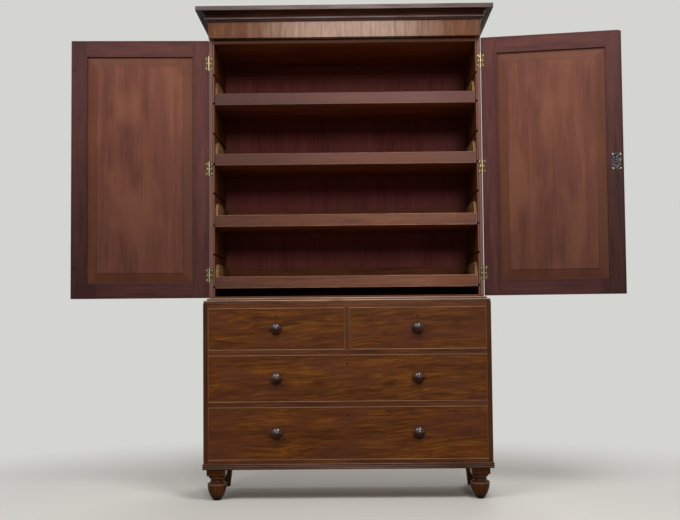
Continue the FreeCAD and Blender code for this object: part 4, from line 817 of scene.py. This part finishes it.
# %% Mahogany inside, and the plain woods
wood("mahogany_panel", (0.084, 0.0225, 0.0155), (0.136, 0.0405, 0.0240), (0.185, 0.065, 0.037),
     (0.26, 0.11, 0.06), (0.200, 0.074, 0.041), Figure=0.52, Coarse=1.6, Flushed=0.65, Wander=0.02, Wear=0.0,
     Grime=0.0, Dull=0.55, Gloss=0.42,
     touch=together(fielded((0.100, 0.030, 0.012), (0.040, 0.011, 0.006)), shaded(0.90, 1.75, 0.71)),
     outside=SHOWN)
wood("mahogany_inner", (0.090, 0.025, 0.005), (0.190, 0.058, 0.012), (0.26, 0.090, 0.022), (0.26, 0.12, 0.05),
     Wear=0.4, Grime=0.4, Dull=0.58, Gloss=0.42, specular=0.08,
     touch=together(lined((0.135, 0.055, 0.037), (0.175, 0.040, 0.034)), plain_behind((0.100, 0.045, 0.020))))
wood("mahogany_back_panel", (0.110, 0.022, 0.020), (0.190, 0.043, 0.040), (0.25, 0.064, 0.058),
     (0.34, 0.13, 0.11), Figure=0.6, Wear=0.6, Grime=0.2, Dull=0.6, Gloss=0.45, specular=0.08,
     touch=plain_behind((0.115, 0.052, 0.023)))
wood("mahogany_knob", (0.018, 0.0050, 0.0030), (0.042, 0.0125, 0.0080), (0.070, 0.023, 0.014),
     (0.2, 0.1, 0.07), bump=0.08, specular=0.10, coated=0.42, Wear=0.0, Grime=0.0, Dull=0.40, Gloss=0.30)
wood("pale_wood", (0.14, 0.066, 0.024), (0.25, 0.135, 0.055), (0.33, 0.195, 0.085), (0.40, 0.26, 0.13),
     Wear=0.4, Grime=0.25, Dull=0.62, Gloss=0.5, specular=0.1, touch=stained_and_shaded((0.70, 0.36, 0.30)))
wood("oak", (0.20, 0.11, 0.045), (0.33, 0.20, 0.09), (0.43, 0.28, 0.14), (0.46, 0.31, 0.18), Scale=1.5,
     Wear=0.3, Grime=0.3, Dull=0.7, Gloss=0.55, specular=0.15)
wood("pine", (0.25, 0.135, 0.052), (0.40, 0.245, 0.105), (0.50, 0.33, 0.16), (0.46, 0.31, 0.18), Wear=0.2,
     Grime=0.35, Dull=0.75, Gloss=0.6, specular=0.12)
wood("pine_stained", (0.058, 0.023, 0.009), (0.115, 0.050, 0.021), (0.17, 0.083, 0.038), (0.24, 0.14, 0.08),
     Wear=0.4, Grime=0.4, Dull=0.75, Gloss=0.6, specular=0.12)
print(len(finishes), "wood finishes")

# %% [markdown]
# ## Brass and iron
# Old brass is never one colour. Where hands and doors rub it, it stays bright, and elsewhere a brown skin
# grows on it. A noise chooses between the two, and the skin is rougher. The flush bolts and the drawer locks'
# bolts are iron, grey with a little rust.


# %% A metal finish
def metal(title, bright, skin, share, rough_bright, rough_skin, rub_and_painted_light=None):
    """A metal whose bright tone shows through a skin. share is how much of the surface the skin covers, and
    the last argument changes that mask by place and gives a second one, painted shade, of what is black."""
    tree, shader = new_finish(title)
    shader.inputs["Metallic"].default_value = 1.0
    spot = put(tree, "TexCoord").outputs["Object"]
    noise = put(tree, "TexNoise", {"Vector": spot, "Scale": 260.0, "Detail": 4.0, "Roughness": 0.65})
    noise = noise.outputs[0]
    mask = spread(tree, noise, 0.62 - 0.3 * share, 0.78 - 0.3 * share)
    mask = times(tree, mask, spread(tree, value_of(tree, "rub_and_painted_light"), 0.0, 1.0, 1.0, 0.3))
    black = 0.0
    if rub_and_painted_light:
        mask, black = rub_and_painted_light(tree, mask)
    colour = blend_colours(tree, mask, bright, skin)
    # the second mask paints black into keyholes, as painted shade
    fill(tree, shader.inputs["Base Color"], blend_colours(tree, black, colour, (0.002, 0.0015, 0.001)))
    fill(tree, shader.inputs["Roughness"], spread(tree, mask, 0.0, 1.0, rough_bright, rough_skin))
    relieve(tree, shader, noise, 0.3, 0.0002)


print("a metal is bright, skinned or black")

# %% Brass and iron
DRAWER_FACE = -0.222                                         # depth of the drawers' faces
BELOW_WAIST = (0.83, 0.84)                                   # heights between which the chest ends
PIN = (0.0024, 0.0036)                                       # from a hinge's axis to where its pin ends
KEYHOLE_RIM = (DRAWER_FACE + 0.0004, DRAWER_FACE + 0.0012)   # depths between which a keyhole's rim ends
KEYHOLE_END = (DRAWER_FACE + 0.018, DRAWER_FACE + 0.020)     # and those between which the hole does


def knuckles_and_keyhole_shade(tree, mask):
    """Brass stays bright along the hinge pins, where the doors turn on them, and is painted black inside a
    keyhole, as painted shade.
    """
    x, y, z = where(tree)
    mask = times(tree, mask, spread(tree, away(tree, math_of(tree, "ABSOLUTE", x), HINGE_X), *PIN, 0.15, 1.0))
    chest = spread(tree, z, *BELOW_WAIST, 1.0, 0.0)
    ring = times(tree, spread(tree, y, *KEYHOLE_RIM, 0.9, 0.0), chest)
    # painted shade: black inside a keyhole, between its rim and the hole's end
    deep = times(tree, spread(tree, y, *KEYHOLE_RIM), spread(tree, y, *KEYHOLE_END, 1.0, 0.0))
    return math_of(tree, "MAXIMUM", mask, ring), times(tree, deep, chest)


metal("brass", (0.50, 0.39, 0.26), (0.050, 0.034, 0.018), 1.2, 0.25, 0.5, knuckles_and_keyhole_shade)
metal("iron", (0.115, 0.110, 0.112), (0.014, 0.011, 0.010), 0.85, 0.34, 0.62)
print(sorted(finishes))

# %% [markdown]
# ## Dressing the press
# Now every node is named with its finish. Most boards have their grain the long way. The frieze is the
# exception: its veneer was laid upright, which was the costly way and shows as short stripes side by side.
# Hinges, locks and bolts have their full shape in the frame already, so those nodes only get their metal.

# %% The fixed parts
EASED = 0.0006        # taken off the edges that hands touch
dressed("chest_sides", "mahogany_side", "z", eased=EASED)
dressed("chest_front_frame", "mahogany_rail")
dressed("chest_dust_frames", "pine")
dressed("chest_top", "pine")
dressed("chest_back", "pine_stained")
dressed("feet_back", "pine_stained", "z", eased=EASED)
# each moulding's rub also sets how strong the painted highlight on its crests is
for moulding, rub_and_painted_light in (("waist_moulding", 1.3), ("base_moulding", 0.34), ("cornice_moulding", 0.9)):
    dressed(moulding, "mahogany_moulding", rub_and_painted_light=rub_and_painted_light)
dressed("press_sides", "mahogany_side", "z")
for board in ("press_bottom", "press_top", "press_back_frame"):
    dressed(board, "mahogany_inner")
dressed("press_back_panels", "mahogany_back_panel", "z")
dressed("cornice_frieze", "mahogany_frieze", "z")
dressed("cornice_dust_board", "pine_stained")

# %% Doors, trays and drawers
DRAWERS = ("drawer_short_left", "drawer_short_right", "drawer_middle", "drawer_bottom")
WIDE = 0.5            # a tray's boards that are wider were stained brown
TALL = 0.05           # a drawer's beads that are taller stand upright, and get painted shade
for door in OPENED:
    dressed(f"door_{door}_frame", "mahogany_frame", door=door, eased=EASED)
    dressed(f"door_{door}_panel", "mahogany_panel", "z", door=door)
for number in (1, 2, 3, 4):
    dressed(f"tray_{number}_front", "mahogany_tray", "x")
    dressed(f"tray_{number}_box", "pale_wood", stained_and_shaded=lambda size: size[0] > WIDE)
for drawer in DRAWERS:
    dressed(f"{drawer}_front", "mahogany_drawer", "x")
    dressed(f"{drawer}_cock_beads", "mahogany_bead", stained_and_shaded=lambda size: size[2] > TALL)
    dressed(f"{drawer}_box", "oak")

# %% Brass and iron nodes keep their own shape
METAL_NODES = {
    "brass": ["hinges_on_sides", "door_left_hinge_leaves", "door_right_hinge_leaves", "door_right_lock_bolt"]
    + [f"{drawer}_lock" for drawer in DRAWERS],
    "iron": ["door_left_top_bolt", "door_left_bottom_bolt", "door_right_lock"]
    + [f"{drawer}_lock_bolt" for drawer in DRAWERS],
}
for slot, nodes in METAL_NODES.items():
    for node in nodes:
        mesh = frame["nodes"][node].data
        mesh.materials.clear()
        mesh.materials.append(finishes[slot])
print(sum(len(nodes) for nodes in METAL_NODES.values()), "metal nodes")

# %% [markdown]
# ## Turned work
# Knobs and feet come off the lathe, so they are profiles carried round an axis. The profile lists a radius
# and a height, and each curve in it is an arc given by its two ends and by how far its middle stands out,
# which is how a turner reads a template.


# %% Curves of a profile
def bowed(start, end, bow, steps):
    """Points of the arc from start to end whose middle stands bow to the right of the straight line, without
    start."""
    start, end = np.array(start, float), np.array(end, float)
    chord = end - start
    length = np.hypot(*chord)
    right = np.array([chord[1], -chord[0]]) / length
    radius = (length ** 2 / 4 + bow ** 2) / (2 * abs(bow))
    centre = (start + end) / 2 + right * (bow - math.copysign(radius, bow))
    one, two = start - centre, end - centre
    whole = math.atan2(one[0] * two[1] - one[1] * two[0], one @ two)
    angle = np.arange(1, steps + 1)[:, None] / steps * whole
    turned = np.concatenate([one[0] * np.cos(angle) - one[1] * np.sin(angle),
                             one[0] * np.sin(angle) + one[1] * np.cos(angle)], 1)
    return centre + turned


AROUND = 64           # steps round the axis


def lathe(profile, origin, axis, side):
    """Points origin + axis * height + radius * (side cos t + (axis x side) sin t), closed at both ends of the
    axis."""
    profile = np.asarray(profile, float)
    axis, side = np.array(axis, float), np.array(side, float)
    angle = np.arange(AROUND) / AROUND * 2 * math.pi
    spoke = np.outer(np.cos(angle), side) + np.outer(np.sin(angle), np.cross(axis, side))
    rings = origin + profile[1:-1, None, 1:] * axis + profile[1:-1, None, :1] * spoke[None]
    poles = origin + profile[[0, -1], 1:] * axis
    points = np.concatenate([rings.reshape(-1, 3), poles])
    ring, step = np.meshgrid(np.arange(len(profile) - 3), np.arange(AROUND), indexing="ij")
    here, beside = ring * AROUND + step, ring * AROUND + (step + 1) % AROUND
    quads = np.stack([here, beside, beside + AROUND, here + AROUND], -1).reshape(-1, 4)
    step = np.arange(AROUND)
    first = np.full(AROUND, len(points) - 2)
    last = np.full(AROUND, len(points) - 1)
    top = (len(profile) - 3) * AROUND
    cap = np.stack([first, (step + 1) % AROUND, step], 1)
    lid = np.stack([last, top + step, top + (step + 1) % AROUND], 1)
    return points, quads.tolist() + cap.tolist() + lid.tolist()


print("an arc:", np.round(bowed((1, 0), (1, 2), 0.5, 4), 3).tolist())

# %% Knobs
knob_profile = np.concatenate([
    [(0, -0.020), (0.0079, -0.020), (0.0079, 0), (0.0148, 0)],
    bowed((0.0148, 0), (0.0148, 0.009), -0.004, 10),
    bowed((0.016, 0.009), (0.025, 0.018), 0.00263, 12),
    bowed((0.025, 0.018), (0.0195, 0.0263), 0.0013, 10),
    bowed((0.0195, 0.0263), (0, 0.034), 0.0018, 14),
])
KNOB_X = 0.299        # from the press's middle to a knob
KNOBS = {
    "drawer_short_left": [(-KNOB_X, 0.7225)],
    "drawer_short_right": [(KNOB_X, 0.7225)],
    "drawer_middle": [(-KNOB_X, 0.514), (KNOB_X, 0.514)],
    "drawer_bottom": [(-KNOB_X, 0.284), (KNOB_X, 0.284)],
}


def gathered(parts):
    """Several (points, faces) as one, the faces renumbered, with the part's number for each point."""
    start = np.cumsum([0] + [len(points) for points, _ in parts])
    faces = [[corner + shift for corner in face] for (_, part), shift in zip(parts, start) for face in part]
    owner = np.repeat(np.arange(len(parts)), np.diff(start))
    return np.concatenate([points for points, _ in parts]), faces, owner


def turned_values(points, faces, owner, along):
    """Place, half size, lot, crest and rub of turned parts, each about its own middle. A plain block, with
    its eight corners, has no crests. The polish of hands goes from 0 at the bottom of a part to 1 at its top."""
    place, half = np.empty_like(points), np.empty_like(points)
    lot, rub_and_painted_light = np.empty(len(points)), np.empty(len(points))
    for one in range(owner.max() + 1):
        mine = owner == one
        place[mine], half[mine] = on_board(points[mine], along)
        lot[mine] = lots.random()
        rub_and_painted_light[mine] = (points[mine, 2] - points[mine, 2].min()) / np.ptp(points[mine, 2])
    second = [face[:1] + face[2:] for face in faces if len(face) == 4]
    corners = np.array([face[:3] for face in faces] + second)
    crest = np.where(np.bincount(owner)[owner] > 8, crests(points, corners), 0)
    return {"place": place, "half": half, "lot": lot, "crest": crest, "rub_and_painted_light": rub_and_painted_light}


for drawer, places in KNOBS.items():
    made = [lathe(knob_profile, np.array([x, DRAWER_FACE, z]), (0, -1, 0), (1, 0, 0)) for x, z in places]
    points, faces, owner = gathered(made)
    values = turned_values(points, faces, owner, "y")
    knob = new_piece(drawer + "_turned_knobs", points, faces, values, "mahogany_knob")
    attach(knob, drawer)
    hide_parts(drawer + "_knobs")
print("knob profile:", len(knob_profile), "points")

# %% Front feet
FOOT_X, FOOT_Y = 0.557, -0.171        # a foot's axis
BLOCK_LOW, FOOT_TOP = 0.105, 0.132    # from the turned part up to the chest, a foot is a square block
HALF_BLOCK = 0.039
foot_profile = np.concatenate([
    [(0, 0), (0.014, 0)],
    bowed((0.014, 0), (0.040, 0.0655), 0.0065, 20),
    bowed((0.040, 0.0655), (0.040, 0.0715), 0.0004, 4),
    [(0.029, 0.0785)],
    bowed((0.029, 0.0785), (0.031, 0.0925), -0.003, 12),
    bowed((0.031, 0.0925), (0.031, BLOCK_LOW), 0.004, 12),
    [(0, BLOCK_LOW)],
])


def block(low, high):
    """Corners and faces of a plain block between two corners."""
    grid = np.array([[x, y, z] for z in (0, 1) for y in (0, 1) for x in (0, 1)], float)
    faces = [[0, 2, 3, 1], [4, 5, 7, 6], [0, 1, 5, 4], [2, 6, 7, 3], [0, 4, 6, 2], [1, 3, 7, 5]]
    return np.array(low) + grid * (np.array(high) - np.array(low)), faces


made = []
for side in (-1, 1):
    made.append(lathe(foot_profile, np.array([side * FOOT_X, FOOT_Y, 0]), (0, 0, 1), (1, 0, 0)))
    made.append(block((side * FOOT_X - HALF_BLOCK, FOOT_Y - HALF_BLOCK, BLOCK_LOW),
                      (side * FOOT_X + HALF_BLOCK, FOOT_Y + HALF_BLOCK, FOOT_TOP)))
points, faces, owner = gathered(made)
values = turned_values(points, faces, owner, "z")
feet = new_piece("feet_front_turned", points, faces, values, "mahogany_turned")
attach(feet, "carcass")
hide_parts("feet_front")
print("foot profile:", len(foot_profile), "points")

# %% [markdown]
# ## Screws
# A hinge leaf is held by three slotted brass screws and the door's lock by four. A head is a low disc with
# two half-moons on it, and the gap between the half-moons is the slot. The slots point every way, because
# each screw stopped turning where it was tight. A Boolean modifier could cut the slots, but on forty heads a
# few rings of points give the same look with less to go wrong.

# %% One screw head
HEAD_POINTS = 11                    # points round a disc or a half-moon
SLOT = 0.16                         # half the slot's width, as a share of the head's radius
MOON_RINGS = (0.05, 0.16, 0.22)     # heights of a half-moon's rings, in millimetres
DISC_RINGS = (-0.2, 0.06)           # and those of the disc's rings
RING_SIZES = (1.0, 1.0, 0.82)       # each ring's size beside the first


def screw(at, u, v, w, radius, angle):
    """A disc under two half-moons, as (points, faces). u and v lie in the face, w points out of it. A
    half-moon is the part of a circle beyond the slot's half width, in three rings, the last one smaller."""
    u, v = u * math.cos(angle) + v * math.sin(angle), v * math.cos(angle) - u * math.sin(angle)
    first = math.asin(SLOT)
    moon = np.linspace(first, math.pi - first, HEAD_POINTS)
    disc = np.arange(HEAD_POINTS) / HEAD_POINTS * 2 * math.pi
    step = np.arange(HEAD_POINTS)
    parts = []
    for way, turn, levels in ((1, moon, MOON_RINGS), (-1, moon, MOON_RINGS), (1, disc, DISC_RINGS)):
        flat = np.stack([way * np.cos(turn), way * np.sin(turn)], 1) * radius
        middle = flat.mean(0)
        rings = [at + ((flat - middle) * size + middle) @ np.array([u, v]) + w * level / 1000
                 for level, size in zip(levels, RING_SIZES)]
        low = np.arange(len(levels) - 1)[:, None] * HEAD_POINTS
        here, beside = low + step, low + (step + 1) % HEAD_POINTS
        walls = np.stack([here, beside, beside + HEAD_POINTS, here + HEAD_POINTS], -1).reshape(-1, 4)
        lids = [(step + (len(levels) - 1) * HEAD_POINTS).tolist(), step[::-1].tolist()]
        parts.append((np.concatenate(rings), walls.tolist() + lids))
    return gathered(parts)[:2]


X, Z, OUT = np.eye(3)[0], np.eye(3)[2], np.array([0.0, -1.0, 0.0])
HINGE_SCREW, LOCK_SCREW = 0.0023, 0.0026      # radii of the heads
print("a screw head has", len(screw(np.zeros(3), X, Z, OUT, HINGE_SCREW, 0)[0]), "points")

# %% Screws of hinges and lock
HINGE_LEVELS = (0.952, 1.4095, 1.867)
LEAF_MIDDLE = 0.576                 # from the press's middle to a leaf's screws
LEAF_RISE, LEAF_SHIFT = 0.021, 0.0015
DOOR_FACE = -0.1815                 # depth of a shut door's inner face
LOCK_LEVEL, LOCK_RISE = 1.4105, 0.0305
LOCK_SIDES = (0.0095, 0.0405)
LOCK_SPOTS = [(x, LOCK_LEVEL + rise) for x in LOCK_SIDES for rise in (-LOCK_RISE, LOCK_RISE)]
SPIN_SEED = 61
spin = np.random.default_rng(SPIN_SEED)


def screws(name, body, door, spots, radius, slot):
    """One piece of screw heads at (x, z) spots, on the cupboard's front edges or on a shut door's inner face,
    which is then swung open."""
    face, u, w = (DOOR_FACE, -X, -OUT) if door else (CARCASS_FACE, X, OUT)
    made = [screw(np.array([x, face, z]), u, Z, w, radius, spin.random() * math.pi) for x, z in spots]
    points, faces, _ = gathered(made)
    if door:
        points = swung(points, door, 1)
    piece = new_piece(name, points, faces, {"rub_and_painted_light": np.ones(len(points))}, slot)
    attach(piece, body)
    return len(spots)


def leaf_spots(side):
    """Three screws on each of three leaves, the middle one set a little outwards."""
    return [(side * (LEAF_MIDDLE + (-LEAF_SHIFT if rise else LEAF_SHIFT)), level + rise)
            for level in HINGE_LEVELS for rise in (-LEAF_RISE, 0, LEAF_RISE)]


on_sides = leaf_spots(-1) + leaf_spots(1)
count = screws("hinge_screws_sides", "carcass", None, on_sides, HINGE_SCREW, "brass")
for door, (side, _) in OPENED.items():
    count += screws(f"hinge_screws_{door}", f"door_{door}", door, leaf_spots(side), HINGE_SCREW, "brass")
count += screws("door_lock_screws", "door_right", "right", LOCK_SPOTS, LOCK_SCREW, "brass")
print(count, "screws")

# %% [markdown]
# ## The stage
# A plain pale floor that fades into a pale surround, so that the press stands in nothing but light. The fade
# is by distance from the press. The floor is pale to the eye, but it gives back less light than it shows,
# because a white floor would light the undersides of the trays, which are nearly black in a real room.

# %% Floor and surround
PALE = (0.66, 0.66, 0.64)           # the colour of the surround
FLOOR_REACH, FLOOR_SIDES = 40, 96
FADE = (0.9, 2.6)                   # distances from the press between which the floor goes over to pale
angle = np.arange(FLOOR_SIDES) / FLOOR_SIDES * 2 * math.pi
rim = np.stack([FLOOR_REACH * np.cos(angle), FLOOR_REACH * np.sin(angle), np.zeros(FLOOR_SIDES)], 1)
floor_mesh = bpy.data.meshes.new("floor")
floor_mesh.from_pydata(rim.tolist(), [], [list(range(FLOOR_SIDES))])
floor = placed("floor", floor_mesh)


def seen_directly(tree):
    """1 for what the camera, a reflection or a glass sees, and 0 for light on its way to a surface."""
    path = put(tree, "LightPath").outputs
    either = math_of(tree, "MAXIMUM", path["Is Camera Ray"], path["Is Glossy Ray"])
    return math_of(tree, "MAXIMUM", either, path["Is Transmission Ray"])


floor_paint = bpy.data.materials.new("floor")
floor_paint.use_nodes = True
tree = floor_paint.node_tree
tree.nodes.clear()
seen = seen_directly(tree)
spot = put(tree, "TexCoord").outputs["Object"]
distance = put(tree, "VectorMath", {0: spot}, operation="LENGTH").outputs["Value"]
far = spread(tree, distance, *FADE)
lit = blend_colours(tree, seen, (0.34, 0.28, 0.22), (0.79, 0.79, 0.77))
matt = put(tree, "BsdfDiffuse", {"Color": lit}).outputs[0]
glow = put(tree, "Emission", {"Color": PALE, "Strength": 1.0}).outputs[0]
mixed = put(tree, "MixShader", {0: times(tree, far, seen), 1: matt, 2: glow}).outputs[0]
put(tree, "OutputMaterial", {"Surface": mixed})
floor_mesh.materials.append(floor_paint)
print("floor:", FLOOR_REACH, "metres each way")

# %% The room's own light
world = bpy.data.worlds.new("studio")
bpy.context.scene.world = world
world.use_nodes = True
tree = world.node_tree
tree.nodes.clear()
soft = put(tree, "Background", {"Color": (1.0, 0.98, 0.95), "Strength": 0.12}).outputs[0]
pale = put(tree, "Background", {"Color": PALE, "Strength": 1.0}).outputs[0]
both = put(tree, "MixShader", {0: seen_directly(tree), 1: soft, 2: pale}).outputs[0]
put(tree, "OutputWorld", {"Surface": both})
print("surround:", len(tree.nodes), "nodes")

# %% [markdown]
# ## Light
# Large lamps give soft light. The main one hangs high in front of the press, a little right of its middle,
# and a wider one on the left fills its shadows. The far lamp stands well behind the camera, so that it lights
# the chest and the doors alike. The last lamp lights the back, which nobody should find black when walking
# round the press.

# %% Lamps
LAMP_WHITE = (1.0, 0.97, 0.93)
LAMPS = {
    "main lamp": ((1.0, -2.4, 3.5), (0, -0.2, 1.3), 1.1, 60),
    "fill lamp": ((-1.7, -2.7, 3.4), (0, -0.2, 1.3), 2.0, 56),
    "far lamp": ((1.2, -9.2, 3.35), (0, 0, 1.2), 1.4, 190),
    "back lamp": ((0.8, 4.2, 3.2), (0, 0.2, 1.1), 3.0, 120),
}
for title, (place, aim, size, power) in LAMPS.items():
    light = bpy.data.lights.new(title, "AREA")
    light.size = size
    light.energy = power
    light.color = LAMP_WHITE
    thing = placed(title, light)
    towards = (Vector(aim) - Vector(place)).normalized()
    thing.rotation_euler = towards.to_track_quat("-Z", "Y").to_euler()
    thing.location = place
    thing.visible_camera = False
print(len(LAMPS), "lamps")

# %% [markdown]
# ## Camera
# The camera stands a little above the height of a table and looks very slightly up, so that the undersides of
# the cornice and trays are seen. Its three turns are written as a matrix: right, up and backwards as columns.

# %% Camera
EYE = (0.02803, -4.93827, 0.74694)            # where the camera stands, in metres
YAW, PITCH, ROLL = -0.01162, 0.05564, -0.00896     # its turns, in radians
SENSOR = 36.0                                 # width of the camera's sensor, in millimetres
LENS_TO_WIDTH = 1116.17 / 680                 # the lens's focal length beside the sensor's width
FARTHEST = 200                                # nothing beyond this many metres is drawn
camera_data = bpy.data.cameras.new("camera")
camera_data.sensor_width = SENSOR
camera_data.sensor_fit = "HORIZONTAL"
camera_data.lens = LENS_TO_WIDTH * SENSOR
camera_data.clip_end = FARTHEST
camera = placed("camera", camera_data)
forward = np.array([math.sin(YAW) * math.cos(PITCH), math.cos(YAW) * math.cos(PITCH), math.sin(PITCH)])
level = np.array([math.cos(YAW), -math.sin(YAW), 0.0])
upright = np.cross(level, forward)
right = math.cos(ROLL) * level + math.sin(ROLL) * upright
up = -math.sin(ROLL) * level + math.cos(ROLL) * upright
turn = np.eye(4)
turn[:3, 0], turn[:3, 1], turn[:3, 2], turn[:3, 3] = right, up, -forward, EYE
camera.matrix_world = Matrix(turn.tolist())
bpy.context.scene.camera = camera
bpy.context.scene.view_settings.view_transform = "Standard"
print("camera at", EYE, "lens", round(camera_data.lens, 2))
